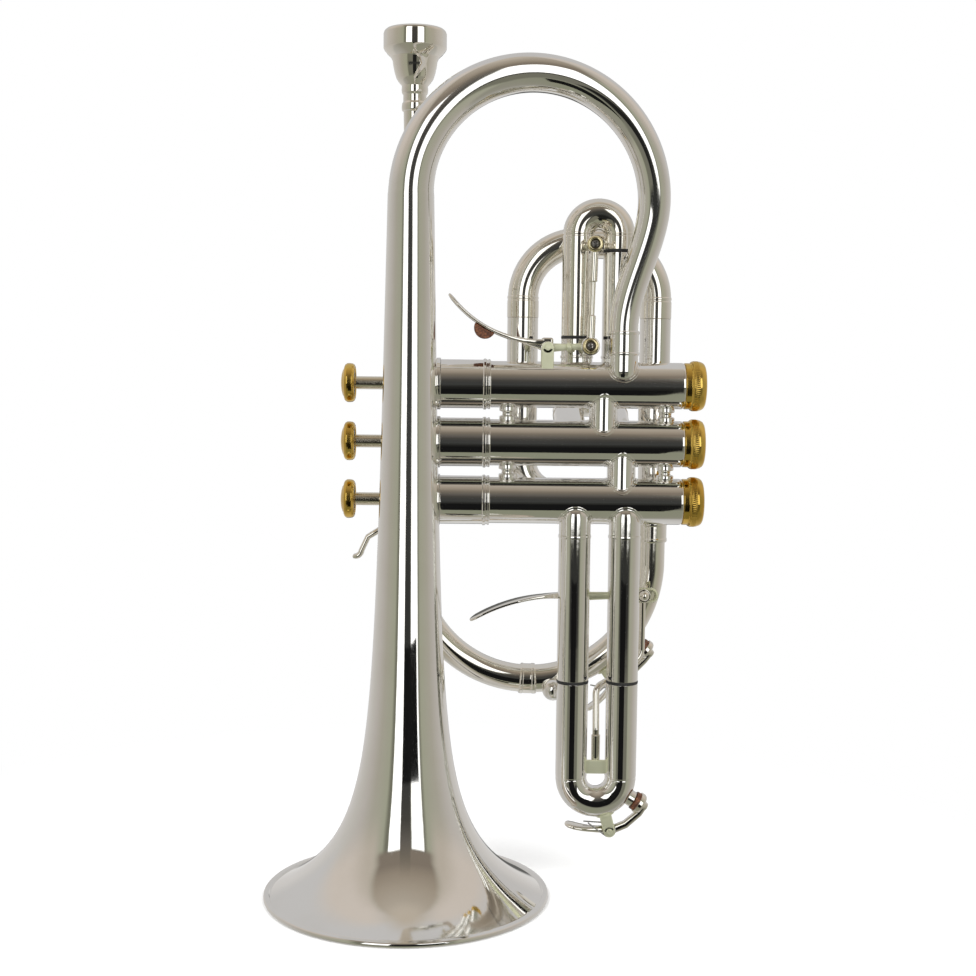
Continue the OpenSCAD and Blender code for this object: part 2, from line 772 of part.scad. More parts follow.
module first_trigger_lever() {
  p = trigger_pivot;
  e = trigger_end;
  color(SILVER) {
    difference() {
      union() {
        strip([17, 255.5], [33, 244.6], [58, 236.2], trigger_y - 4.5, trigger_y + 4.5, 1.5);
        translate([p.x - 2.4, trigger_y - 2.4, p.y]) cube([4.8, 4.8, 4]);
        cross_cylinder(p, trigger_y - 2.4, trigger_y + 2.4, 2.9);
        along([p.x, trigger_y + 1.6, p.y], [e.x, trigger_y + 1.6, e.y])
          translate([-1.6, -0.75, 0]) cube([3.2, 1.5, e.x - p.x]);
        cross_cylinder(e, trigger_y + 0.85, trigger_y + 2.35, 3);
      }
      cross_cylinder(p, trigger_y - 5, trigger_y + 5, 1.25);
    }
    // end screw, with its ring head in front of the link
    cross_cylinder(e, trigger_y - 3, trigger_y + 1, 1.2);
    cross_cylinder(e, trigger_y - 4.6, trigger_y - 2.7, 3.4);
  }
}

module first_trigger_cork() {
  color(CORK) difference() {
    translate([32.2, trigger_y, 241.8]) sphere(r = 4.6);
    strip([17, 255.5], [33, 244.6], [58, 236.2], trigger_y - 6, trigger_y + 6, 1.5);
    strip([17, 257], [33, 246.1], [58, 237.7], trigger_y - 6, trigger_y + 6, 1.5);
  }
}

module first_slide_link() {
  y = trigger_y - 0.9;
  low = [trigger_end.x, y, trigger_end.y];
  high = [link_top.x, y, link_top.y];
  color(SILVER) {
    difference() {
      union() {
        cross_cylinder(trigger_end, y - 1.6, y + 1.6, 4.1);
        rod(low + 0.09 * (high - low), low + 0.3 * (high - low), 2);
        rod(low + 0.2 * (high - low), low + 0.75 * (high - low), 1.4);
        rod(low + 0.62 * (high - low), high, 2);
      }
      cross_cylinder(trigger_end, y - 3, y + 3, 2.75);
    }
    cross_cylinder(link_top, y - 3.4, trigger_y + 2, 3.4);
  }
}

// ---- Second slide ----

module second_outer_tubes() {
  color(SILVER) difference() {
    on_second() for (x = second_x) difference() {
      union() {
        rod([x, 4, 0], [x, 30, 0], outer_r);
        rod([x, 28.6, 0], [x, 30, 0], outer_r + 0.25);
      }
      rod([x, 3, 0], [x, 31, 0], bore_r);
      rod([x, 15, 0], [x, 31, 0], inner_r + running_gap);
    }
    valve_cylinder(1, 50, 110, casing_r);
  }
}

module second_slide() {
  R = (second_x[1] - second_x[0]) / 2;
  middle = (second_x[1] + second_x[0]) / 2;
  color(SILVER) on_second() {
    for (x = second_x) {
      tube([x, 16, 0], [x, 35, 0], inner_r, bore_r);
      tube([x, 30.1, 0], [x, 35, 0], outer_r, inner_r);
    }
    translate([middle, 35, 0]) bend(R, 0, 180, outer_r - 0.1, bore_r);
    // pull knob on the crown of the bow
    translate([middle, 35 + R + 5, 0]) rotate([-90, 0, 0]) cylinder(r = 1.6, h = 4.2);
    translate([middle, 35 + R + 9.2, 0]) rotate([-90, 0, 0]) cylinder(r = 3, h = 1.6);
  }
}

// ---- Third slide ----

module third_outer_tubes() {
  color(SILVER) for (x = third_x) difference() {
    union() {
      landed_stub(x, third_y, valve_z[2], third_end_z, outer_r, third_lift);
      rod([x, third_y, 150.8], [x, third_y, 152.2], outer_r + 0.25);
    }
    landed_bore(x, third_y, valve_z[2], third_end_z, bore_r, third_lift);
    rod([x, third_y, 150], [x, third_y, third_end_z - over], inner_r + running_gap);
    valve_cylinder(2, 50, 110, casing_r);
  }
}

module third_slide() {
  sleeve_to = third_end_z - ring_t - 0.05;
  c = third_centre;
  color(SILVER) {
    for (x = third_x) {
      tube([x, third_y, third_bow_z], [x, third_y, 148], inner_r, bore_r);
      tube([x, third_y, third_bow_z], [x, third_y, sleeve_to], outer_r, inner_r);
    }
    difference() {
      union() {
        upright(c) bend(third_bow_r, 180, 360, outer_r - 0.1, bore_r);
        difference() {
          union() {
            along(polar(c, third_bow_r, third_nipple_angle),
              polar(c, third_nipple_to, third_nipple_angle))
              cylinder(r = 3.5, h = third_nipple_to - third_bow_r);
            for (side = [-1, 1])
              key_cheek(c, third_key_angle, third_bow_r + 4, third_key_r, side);
          }
          upright(c) bent_rod(third_bow_r, 190, 359, bore_r + 0.3);
        }
      }
      rod(polar(c, third_bow_r, third_nipple_angle), polar(c, 22, third_nipple_angle), 1.5);
    }
    cross_cylinder(flat(polar(c, third_key_r, third_key_angle)), c.y - 4.4, c.y + 4.4, 0.8);
    // brace between the two legs
    difference() {
      translate([third_x[0], third_y - 1, 47]) cube([2 * third_bow_r, 1.6, 6]);
      for (x = third_x) rod([x, third_y, 40], [x, third_y, 60], inner_r);
    }
  }
}

module third_lever_bracket() {
  p = lever_pivot;
  color(SILVER) {
    difference() {
      rod([p.x, third_y, p.y], [p.x, lever_y - 1.6, p.y], 3.2);
      rod([p.x, third_y, p.y - 9], [p.x, third_y, p.y + 9], outer_r);
    }
    cross_cylinder(p, lever_y - 2, lever_y + 2.2, 1.4);
    cross_cylinder(p, lever_y + 1.6, lever_y + 2.6, 2.8);
  }
}

module third_trigger_lever() {
  p = lever_pivot;
  e = lever_end;
  y0 = lever_y - 1.5;
  y1 = lever_y + 1.5;
  color(SILVER) difference() {
    union() {
      strip([25.9, 112.4], [44, 120.6], [69, 123.6], lever_y - 5, lever_y + 5, 1.5);
      cross_cylinder(p, y0, y1, 3.4);
      translate([p.x - 6, y0, p.y - 1.6]) cube([e.x - p.x + 4, 3, 3.2]);
      translate([e.x - 2.4, y0, e.y - 4]) cube([5.6, 3, 8]);
      cross_cylinder([e.x - 2.4, e.y], y0, y1, 4);
      cross_cylinder([e.x + 3.2, e.y], y0, y1, 4);
    }
    cross_cylinder(p, y0 - 5, y1 + 5, 1.5);
    // slot that gives the link's pin its play
    translate([e.x - 0.3, y0 - over, e.y - 2.3]) cube([3, 3 + 2 * over, 4.6]);
    cross_cylinder([e.x - 0.3, e.y], y0 - over, y1 + over, 2.3);
    cross_cylinder([e.x + 2.7, e.y], y0 - over, y1 + over, 2.3);
    // room for the bracket's boss
    cross_cylinder(p, y0 - 6, y0 - 0.01, 4.4);
    cross_cylinder(p, y1 + 0.01, y1 + 5, 4.4);
  }
}

module third_slide_link() {
  e = lever_end;
  points = [
    [e.x, link_y, e.y], [e.x, link_y, 105], [86.5, 34, 89],
    [third_centre.x, 27.5, 80], [third_centre.x, 24.4, 63]
  ];
  foot = [third_centre.x, 24.4, 50];
  color(SILVER) {
    for (i = [0:len(points) - 2]) {
      rod(points[i], points[i + 1], 1.55);
      if (i > 0) translate(points[i]) sphere(r = 1.6);
    }
    rod(points[4] + [0, 0, 0.5], foot, 1.95);
    cross_cylinder(flat(foot), third_y + 0.6, foot.y + 1.2, 1.6);
    // pin, ball head and boss at the lever
    cross_cylinder(e, lever_y - 2.6, link_y, 1.3);
    cross_cylinder(e, link_y - 2.2, link_y + 2, 2.6);
    cross_cylinder(e, lever_y - 3.8, lever_y - 1.7, 3.1);
  }
}

// ---- Rings and water keys ----

module stop_rings() {
  color(BLACK) {
    tube([first_x[0], first_y, first_low_end], [first_x[0], first_y, first_low_end + ring_t],
      outer_r + 0.05, inner_r + running_gap);
    tube([first_x[1], first_y, first_high_end], [first_x[1], first_y, first_high_end + ring_t],
      outer_r + 0.05, inner_r + running_gap);
    for (x = third_x) tube([x, third_y, third_end_z - ring_t], [x, third_y, third_end_z],
      outer_r + 0.05, inner_r + running_gap);
  }
}

// Lever of a water key. It turns on a pin at (pivot_r, pivot_a) seen from the bow's
// centre c, and its cup closes the nipple that ends at nipple_to on nipple_a.
module water_key(c, pivot_r, pivot_a, nipple_to, nipple_a, arm_R, tip, plate_w, cup_r) {
  pivot = polar(c, pivot_r, pivot_a);
  cup_from = nipple_to + 1.2;
  color(SILVER) difference() {
    union() {
      cross_cylinder(flat(pivot), c.y - 2.6, c.y + 2.6, 2);
      upright(c) bent_rod(arm_R, pivot_a, nipple_a, 1.3);
      along(polar(c, cup_from, nipple_a), polar(c, cup_from + 3, nipple_a))
        cylinder(r = cup_r, h = 3);
      rod(polar(c, cup_from + 2, nipple_a), polar(c, arm_R + 0.4, nipple_a), 2);
      along(pivot, tip) translate([-0.7, -plate_w / 2, 0])
        cube([1.4, plate_w, norm(tip - pivot)]);
    }
    cross_cylinder(flat(pivot), c.y - 6, c.y + 6, 0.85);
    along(polar(c, cup_from - over, nipple_a), polar(c, cup_from + 1, nipple_a))
      cylinder(r = cup_r - 0.5, h = over + 1.2);
  }
}

module key_cork(c, nipple_to, nipple_a, cup_r) {
  color(CORK) along(polar(c, nipple_to + 0.02, nipple_a), polar(c, nipple_to + 2.4, nipple_a))
    cylinder(r = cup_r - 0.5, h = 2.38);
}

module third_water_key() {
  water_key(third_centre, third_key_r, third_key_angle, third_nipple_to,
    third_nipple_angle, third_key_r + 0.8,
    third_centre + [-13.2, 0, -20.9], 5, 4.65);
}

module third_key_cork() {
  key_cork(third_centre, third_nipple_to, third_nipple_angle, 4.65);
}

module bow_water_key() {
  water_key(bow_centre, bow_key_r, bow_key_angle, bow_nipple_to, bow_nipple_angle,
    bow_key_r + 0.9, bow_centre + [26, 0, -68.3], 5, 4.65);
}

module bow_key_cork() {
  key_cork(bow_centre, bow_nipple_to, bow_nipple_angle, 4.65);
}

// ---- Assembly ----

bell_flare();
bell_rim_wire();
bell_stem();
bell_crook();
tail_ferrule();
casing(0);  // casing_1
casing(1);  // casing_2
casing(2);  // casing_3
casing_knuckles();
casing_braces();
top_cap(0);  // top_cap_1
top_cap(1);  // top_cap_2
top_cap(2);  // top_cap_3
bottom_cap(0);  // bottom_cap_1
bottom_cap(1);  // bottom_cap_2
bottom_cap(2);  // bottom_cap_3
valve_guides();
piston(0);  // piston_1
piston(1);  // piston_2
piston(2);  // piston_3
stem(0);  // stem_1
stem(1);  // stem_2
stem(2);  // stem_3
button(0);  // button_1
button(1);  // button_2
button(2);  // button_3
felts(0);  // felts_1
felts(1);  // felts_2
felts(2);  // felts_3
spring(0);  // spring_1
spring(1);  // spring_2
spring(2);  // spring_3
mouthpiece();
mouthpiece_receiver();
leadpipe();
leadpipe_bow();
bow_fittings();
pinky_hook();
body_braces();
main_outer_left();
main_outer_right();
main_slide();
first_outer_tubes();
first_slide();
first_trigger_bracket();
first_trigger_lever();
first_trigger_cork();
first_slide_link();
second_outer_tubes();
second_slide();
third_outer_tubes();
third_slide();
third_lever_bracket();
third_trigger_lever();
third_slide_link();
stop_rings();
third_water_key();
third_key_cork();
bow_water_key();
bow_key_cork();
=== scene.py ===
# Shepherd's-crook cornet: smooth meshes, plated-metal materials and a studio set
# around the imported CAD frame. Shapes are drawn in millimetres in the row frame.

import json
import math

import bmesh
import bpy
import numpy as np
from mathutils import Matrix, Quaternion, Vector


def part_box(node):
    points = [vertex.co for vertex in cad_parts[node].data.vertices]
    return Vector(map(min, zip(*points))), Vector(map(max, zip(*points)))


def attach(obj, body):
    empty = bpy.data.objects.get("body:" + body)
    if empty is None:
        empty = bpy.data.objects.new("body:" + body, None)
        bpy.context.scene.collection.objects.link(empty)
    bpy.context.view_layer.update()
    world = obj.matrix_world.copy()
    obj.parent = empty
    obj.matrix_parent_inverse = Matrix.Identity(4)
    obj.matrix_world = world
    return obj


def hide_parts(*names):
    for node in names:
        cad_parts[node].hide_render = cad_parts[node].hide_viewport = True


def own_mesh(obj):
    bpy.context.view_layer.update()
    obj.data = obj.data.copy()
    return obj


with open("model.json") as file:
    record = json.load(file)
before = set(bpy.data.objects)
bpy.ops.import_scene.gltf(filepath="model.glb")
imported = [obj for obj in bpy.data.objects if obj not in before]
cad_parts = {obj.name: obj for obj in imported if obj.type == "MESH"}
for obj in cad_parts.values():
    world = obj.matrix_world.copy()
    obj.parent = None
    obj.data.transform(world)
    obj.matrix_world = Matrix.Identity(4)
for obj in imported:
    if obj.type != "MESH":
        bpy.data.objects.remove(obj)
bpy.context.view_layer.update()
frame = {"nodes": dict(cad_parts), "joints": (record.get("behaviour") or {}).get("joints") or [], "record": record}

MM = 0.001
X, Y, Z = Vector((1, 0, 0)), Vector((0, 1, 0)), Vector((0, 0, 1))


# ---- Measures taken from the CAD frame, in millimetres ----

def span(node):
    low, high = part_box(node)
    return low / MM, high / MM


def centre(node):
    low, high = span(node)
    return (low + high) / 2


JOINT_AT = {
    j["name"]: Vector(j["pos_m"]) / MM for j in frame["joints"] if j.get("pos_m")
}

OUTER_R = 6.85
INNER_R = 6.35
BORE_R = 5.85
GAP = 0.03
RING_T = 1.2

BELL_R = span("bell_flare")[1].x
SEAM_Z, CROOK_Z = span("bell_stem")[0].z, span("bell_stem")[1].z
STEM_TOP_R = -span("bell_crook")[0].x
STEM_TAPER = 0.0193
FLARE_Z, FLARE_POWER, RIM_LIFT = 80.0, 3.877, 0.8
FLARE_R = BELL_R - 0.33 - STEM_TOP_R - STEM_TAPER * CROOK_Z
BELL_WALL = 0.6
CROOK_R = 51.0
CROOK_END_R = 6.1
TAIL = centre("tail_ferrule")
TAIL_Z = span("bell_crook")[0].z

AXES = [centre(f"stem_{k}") for k in (1, 2, 3)]
CASING_R, UPPER_R, CASING_BORE_R = 9.95, 10.45, 8.4
CASING_FROM, CASING_TO = span("casing_1")[0].x, span("casing_1")[1].x
TOP_CAP_FROM, TOP_CAP_TO = span("top_cap_1")[0].x, span("top_cap_1")[1].x
CAP_FROM, CAP_TO = span("bottom_cap_1")[0].x, span("bottom_cap_1")[1].x
BUTTON_FROM, BUTTON_TO = span("button_1")[0].x, span("button_1")[1].x
BEAD_FROM, BEAD_TO = 30.6, 33.8


# ---- Paths ----

class Path:
    """A centre line with a frame that doesn't twist, sampled finely on its bends."""

    def __init__(self, points, tangents, side=None):
        self.points, self.tangents = [], []
        for p, t in zip(points, tangents):
            if not self.points or (p - self.points[-1]).length > 1e-5:
                self.points.append(p)
                self.tangents.append(t.normalized())
        self.knots = [0.0]
        for a, b in zip(self.points, self.points[1:]):
            self.knots.append(self.knots[-1] + (b - a).length)
        t = self.tangents[0]
        if side is None:
            side = Y if abs(t.dot(Y)) < 0.9 else X
        u = (side - t * side.dot(t)).normalized()
        self.sides = [u]
        for t in self.tangents[1:]:
            u = (u - t * u.dot(t)).normalized()
            self.sides.append(u)

    @property
    def length(self):
        return self.knots[-1]

    def frame(self, s):
        knots = self.knots
        i = int(np.searchsorted(knots, s, side="right")) - 1
        i = max(0, min(len(knots) - 2, i))
        f = (s - knots[i]) / (knots[i + 1] - knots[i])
        p = self.points[i].lerp(self.points[i + 1], f)
        g = max(0.0, min(1.0, f))
        t = self.tangents[i].lerp(self.tangents[i + 1], g).normalized()
        u = self.sides[i].lerp(self.sides[i + 1], g)
        u = (u - t * u.dot(t)).normalized()
        return p, t, u, t.cross(u)


def straight(a, b, side=None):
    a, b = Vector(a), Vector(b)
    return Path([a, b], [b - a, b - a], side)


def bent(corners, radii, step=2.5, side=None):
    """A path through corners, each inner one rounded to its radius."""
    corners = [Vector(c) for c in corners]
    points, tangents = [corners[0]], [corners[1] - corners[0]]
    for a, b, c, r in zip(corners, corners[1:], corners[2:], radii):
        d1, d2 = (b - a).normalized(), (c - b).normalized()
        angle = d1.angle(d2)
        if angle < 1e-6:
            continue
        cut = r * math.tan(angle / 2)
        start = b - d1 * cut
        axis = d1.cross(d2).normalized()
        hub = start + axis.cross(d1) * r
        steps = max(2, math.ceil(math.degrees(angle) / step))
        for i in range(steps + 1):
            turn_by = Quaternion(axis, angle * i / steps)
            points.append(hub + turn_by @ (start - hub))
            tangents.append(turn_by @ d1)
    points.append(corners[-1])
    tangents.append(corners[-1] - corners[-2])
    return Path(points, tangents, side)


def through(points, side=None):
    """A path through many close points."""
    points = [Vector(p) for p in points]
    tangents = []
    for i in range(len(points)):
        tangents.append(points[min(i + 1, len(points) - 1)] - points[max(i - 1, 0)])
    return Path(points, tangents, side)


def curve3(a, b, c, count=24, side=None):
    """An arc of a circle through three points."""
    a, b, c = Vector(a), Vector(b), Vector(c)
    u, v = b - a, c - a
    w = u.cross(v)
    hub = a + (w.cross(u) * v.length_squared + v.cross(w) * u.length_squared) / (
        2 * w.length_squared
    )
    axis = w.normalized()
    total = (a - hub).angle(c - hub)
    if (Quaternion(axis, total) @ (a - hub) - (c - hub)).length > 1e-3 * total:
        total = -total if total < 0 else 2 * math.pi - total
    points, tangents = [], []
    for i in range(count + 1):
        q = Quaternion(axis, total * i / count)
        points.append(hub + q @ (a - hub))
        tangents.append(axis.cross(q @ (a - hub)))
    return Path(points, tangents, side)


# ---- Shapes ----

class Shape:
    """Closed shells gathered into one mesh."""

    def __init__(self):
        self.verts = []
        self.faces = []

    def add(self, verts, faces):
        v = np.array(verts, float).reshape(-1, 3)
        volume = 0.0
        for f in faces:
            a = v[f[0]]
            for i in range(1, len(f) - 1):
                volume += float(np.dot(a, np.cross(v[f[i]], v[f[i + 1]])))
        offset = len(self.verts)
        self.verts.extend(v.tolist())
        for f in faces:
            f = f if volume > 0 else f[::-1]
            self.faces.append(tuple(i + offset for i in f))
        return self


def rounded(profile, radius, closed=True, bits=3):
    """The profile with its corners rounded, as far as their sides allow."""
    out, n = [], len(profile)
    for i, p in enumerate(profile):
        if not closed and i in (0, n - 1):
            out.append(p)
            continue
        a, c = profile[i - 1], profile[(i + 1) % n]
        v1 = Vector((a[0] - p[0], a[1] - p[1]))
        v2 = Vector((c[0] - p[0], c[1] - p[1]))
        if v1.length < 1e-6 or v2.length < 1e-6:
            out.append(p)
            continue
        turn_angle = math.pi - v1.angle(v2)
        if turn_angle < math.radians(20):
            out.append(p)
            continue
        cut = min(radius * math.tan(turn_angle / 2), 0.45 * v1.length, 0.45 * v2.length)
        start = Vector(p) + v1.normalized() * cut
        end = Vector(p) + v2.normalized() * cut
        for k in range(bits + 1):
            f = k / bits
            q = start * (1 - f) ** 2 + Vector(p) * (2 * f * (1 - f)) + end * f * f
            out.append((q.x, q.y))
    return out


def turn(shape, path, profile, seg=64, closed=True, wave=None):
    """Turns a profile of (distance along, radius) about the path. An open profile starts
    and ends on the path. wave = (count, depth, from, to) makes fine ridges."""
    full = []
    count = len(profile)
    last = count if closed else count - 1
    for i in range(last):
        (s0, r0), (s1, r1) = profile[i], profile[(i + 1) % count]
        full.append((s0, r0))
        inside = [k for k in path.knots if min(s0, s1) + 1e-4 < k < max(s0, s1) - 1e-4]
        for k in sorted(inside, reverse=s1 < s0):
            full.append((k, r0 + (r1 - r0) * (k - s0) / (s1 - s0)))
    if not closed:
        full.append(profile[-1])
    angle = np.arange(seg) * 2 * math.pi / seg
    cos, sin = np.cos(angle)[:, None], np.sin(angle)[:, None]
    verts, rings = [], []
    for s, r in full:
        p, t, u, v = path.frame(s)
        if r < 1e-5:
            rings.append([len(verts)])
            verts.append(list(p))
            continue
        radius = np.full((seg, 1), r)
        if wave and wave[2] <= s <= wave[3]:
            radius = radius + wave[1] * np.cos(wave[0] * angle)[:, None]
        ring = np.array(p) + radius * (cos * np.array(u) + sin * np.array(v))
        rings.append(list(range(len(verts), len(verts) + seg)))
        verts.extend(ring.tolist())
    faces = []
    pairs = list(zip(rings, rings[1:]))
    if closed:
        pairs.append((rings[-1], rings[0]))
    for a, b in pairs:
        if len(a) == 1 and len(b) == 1:
            continue
        for i in range(seg):
            j = (i + 1) % seg
            if len(a) == 1:
                faces.append((a[0], b[j], b[i]))
            elif len(b) == 1:
                faces.append((a[i], a[j], b[0]))
            else:
                faces.append((a[i], a[j], b[j], b[i]))
    return shape.add(verts, faces)


def pipe(shape, path, ro, ri, start=0.0, end=None, rim=0.2, seg=64):
    """A tube along the path, with rounded rims."""
    end = path.length if end is None else end
    loop = [(start, ro), (end, ro), (end, ri), (start, ri)]
    return turn(shape, path, rounded(loop, rim), seg)


def bar(shape, path, r, start=0.0, end=None, rim=0.3, seg=32):
    """A solid round bar along the path, with rounded ends."""
    end = path.length if end is None else end
    line = [(start, 0), (start, r), (end, r), (end, 0)]
    return turn(shape, path, rounded(line, rim, closed=False), seg, closed=False)


def rod(shape, a, b, r, rim=0.3, seg=32):
    return bar(shape, straight(a, b), r, rim=rim, seg=seg)


def ball(shape, c, r, seg=32):
    bits = seg // 2
    line = [
        (-r * math.cos(math.pi * i / bits), r * math.sin(math.pi * i / bits))
        for i in range(bits + 1)
    ]
    line[0], line[-1] = (-r, 0), (r, 0)
    c = Vector(c)
    return turn(shape, straight(c, c + Z), line, seg, closed=False)


def ring_on(shape, c, axis, big, small, seg=64, bits=12):
    """A torus."""
    loop = [
        (small * math.sin(2 * math.pi * i / bits), big + small * math.cos(2 * math.pi * i / bits))
        for i in range(bits)
    ]
    c = Vector(c)
    return turn(shape, straight(c, c + Vector(axis)), loop, seg)


def bead(shape, points, r, bits=8):
    """A thin closed bead along a loop of points."""
    n = len(points)
    middle = sum(points, Vector()) / n
    verts, faces = [], []
    for i, p in enumerate(points):
        t = (points[(i + 1) % n] - points[i - 1]).normalized()
        out = p - middle
        u = (out - t * out.dot(t)).normalized()
        v = t.cross(u)
        for k in range(bits):
            a = 2 * math.pi * k / bits
            verts.append(list(p + r * (math.cos(a) * u + math.sin(a) * v)))
    for i in range(n):
        for k in range(bits):
            a, b = i * bits + k, i * bits + (k + 1) % bits
            c, d = ((i + 1) % n) * bits + (k + 1) % bits, ((i + 1) % n) * bits + k
            faces.append((a, b, c, d))
    return shape.add(verts, faces)


def eased(sections, step=0.8):
    """The sections with others between them, close enough to follow a curved path."""
    s, w, h = (np.array(column) for column in zip(*sections))
    at = list(s[:4])
    for a, b in zip(s[3:], s[4:]):
        at.extend(np.linspace(a, b, max(1, math.ceil((b - a) / step)) + 1)[1:])
    return list(zip(at, np.interp(at, s, w), np.interp(at, s, h)))


def loft(shape, path, sections, power=4.0, bits=32):
    """Sweeps a rounded-rectangle section: (distance, half width, half thickness), with
    the width along the path's side direction."""
    verts, faces = [], []
    sections = eased(sections)
    for s, w, h in sections:
        p, t, u, v = path.frame(s)
        for k in range(bits):
            a = 2 * math.pi * k / bits
            c, d = math.cos(a), math.sin(a)
            x = math.copysign(abs(c) ** (2 / power), c) * w
            y = math.copysign(abs(d) ** (2 / power), d) * h
            verts.append(list(p + u * x + v * y))
    n = len(sections)
    for i in range(n - 1):
        for k in range(bits):
            a, b = i * bits + k, i * bits + (k + 1) % bits
            faces.append((a, b, b + bits, a + bits))
    faces.append(tuple(range(bits))[::-1])
    faces.append(tuple(range((n - 1) * bits, n * bits)))
    return shape.add(verts, faces)


def block(shape, low, high, bevel=0.3, turn_by=None, about=None):
    """A box with rounded edges, given by its two corners."""
    low, high = Vector(low), Vector(high)
    bm = bmesh.new()
    bmesh.ops.create_cube(bm, size=1)
    size = high - low
    for v in bm.verts:
        v.co = Vector((v.co.x * size.x, v.co.y * size.y, v.co.z * size.z))
    bmesh.ops.bevel(
        bm, geom=list(bm.edges), offset=bevel, segments=3, affect="EDGES", profile=0.5
    )
    mid = (low + high) / 2
    verts = []
    for v in bm.verts:
        p = v.co + mid
        if turn_by is not None:
            p = turn_by @ (p - about) + about
        verts.append(list(p))
    bm.verts.index_update()
    faces = [tuple(v.index for v in f.verts) for f in bm.faces]
    bm.free()
    return shape.add(verts, faces)


# ---- Objects ----

def mesh_of(shape, name):
    mesh = bpy.data.meshes.new(name)
    co = np.array(shape.verts, float) * MM
    mesh.from_pydata(co.tolist(), [], shape.faces)
    mesh.validate()
    mesh.update()
    return mesh


def carve(shape, *cutters):
    """The shape with the cutters' volume taken away. For hidden cuts inside casings."""
    objects = []
    for i, s in enumerate((shape,) + cutters):
        o = bpy.data.objects.new(f"carve{i}", mesh_of(s, f"carve{i}"))
        bpy.context.scene.collection.objects.link(o)
        objects.append(o)
    for cutter in objects[1:]:
        m = objects[0].modifiers.new("cut", "BOOLEAN")
        m.operation, m.solver, m.object = "DIFFERENCE", "EXACT", cutter
        m.use_self = True
    dg = bpy.context.evaluated_depsgraph_get()
    dg.update()
    e = objects[0].evaluated_get(dg)
    made = e.to_mesh()
    out = Shape()
    out.verts = [list(v.co / MM) for v in made.vertices]
    out.faces = [tuple(p.vertices) for p in made.polygons]
    e.to_mesh_clear()
    for o in objects:
        mesh = o.data
        bpy.data.objects.remove(o)
        bpy.data.meshes.remove(mesh)
    return out


def join(shape, other):
    offset = len(shape.verts)
    shape.verts.extend(other.verts)
    shape.faces.extend(tuple(i + offset for i in f) for f in other.faces)
    return shape


def piece(name, shape, material, body, slot, *nodes, sharp=38):
    o = bpy.data.objects.new(name, mesh_of(shape, name))
    bpy.context.scene.collection.objects.link(o)
    o.data.materials.append(material)
    o.data.shade_smooth()
    o.data.set_sharp_from_angle(angle=math.radians(sharp))
    m = o.modifiers.new("normals", "WEIGHTED_NORMAL")
    m.keep_sharp = True
    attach(o, body)
    if nodes:
        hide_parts(*nodes)
    return o


# ---- Materials ----

class Nodes:
    """A small hand for building a node tree."""

    def __init__(self, tree):
        self.tree = tree
        tree.nodes.clear()

    def add(self, kind, inputs=None, **props):
        n = self.tree.nodes.new(kind)
        for k, v in props.items():
            setattr(n, k, v)
        for k, v in (inputs or {}).items():
            if isinstance(v, bpy.types.NodeSocket):
                self.tree.links.new(v, n.inputs[k])
            else:
                n.inputs[k].default_value = v
        return n

    def math(self, op, a, b=0.0, c=0.0, clamp=False):
        return self.add("ShaderNodeMath", {0: a, 1: b, 2: c}, operation=op, use_clamp=clamp).outputs[0]

    def step(self, value, low, high, to_low=0.0, to_high=1.0):
        """A soft step from to_low to to_high while value goes from low to high."""
        return self.add(
            "ShaderNodeMapRange",
            {0: value, 1: low, 2: high, 3: to_low, 4: to_high},
            interpolation_type="SMOOTHSTEP",
        ).outputs[0]

    def ramp(self, value, stops, mode="LINEAR"):
        n = self.add("ShaderNodeValToRGB", {0: value})
        n.color_ramp.interpolation = mode
        e = n.color_ramp.elements
        while len(e) < len(stops):
            e.new(0.5)
        for el, (pos, colour) in zip(e, stops):
            el.position = pos
            el.color = (*colour, 1.0)
        return n.outputs[0]

    def mix(self, factor, a, b, blend="MIX"):
        n = self.add("ShaderNodeMix", {0: factor}, data_type="RGBA", blend_type=blend)
        for i, v in ((6, a), (7, b)):
            if isinstance(v, bpy.types.NodeSocket):
                self.tree.links.new(v, n.inputs[i])
            else:
                n.inputs[i].default_value = (*v, 1.0)
        return n.outputs[2]

    def noise(self, where, scale, detail=3.0, roughness=0.5, distortion=0.0):
        return self.add(
            "ShaderNodeTexNoise",
            {"Vector": where, "Scale": scale, "Detail": detail, "Roughness": roughness,
             "Distortion": distortion},
        ).outputs["Fac"]


def surface(name):
    m = bpy.data.materials.new(name)
    m.use_nodes = True
    n = Nodes(m.node_tree)
    place = n.add("ShaderNodeTexCoord").outputs["Object"]
    shader = n.add("ShaderNodeBsdfPrincipled")
    out = n.add("ShaderNodeOutputMaterial", {0: shader.outputs[0]})
    return m, n, place, shader, out


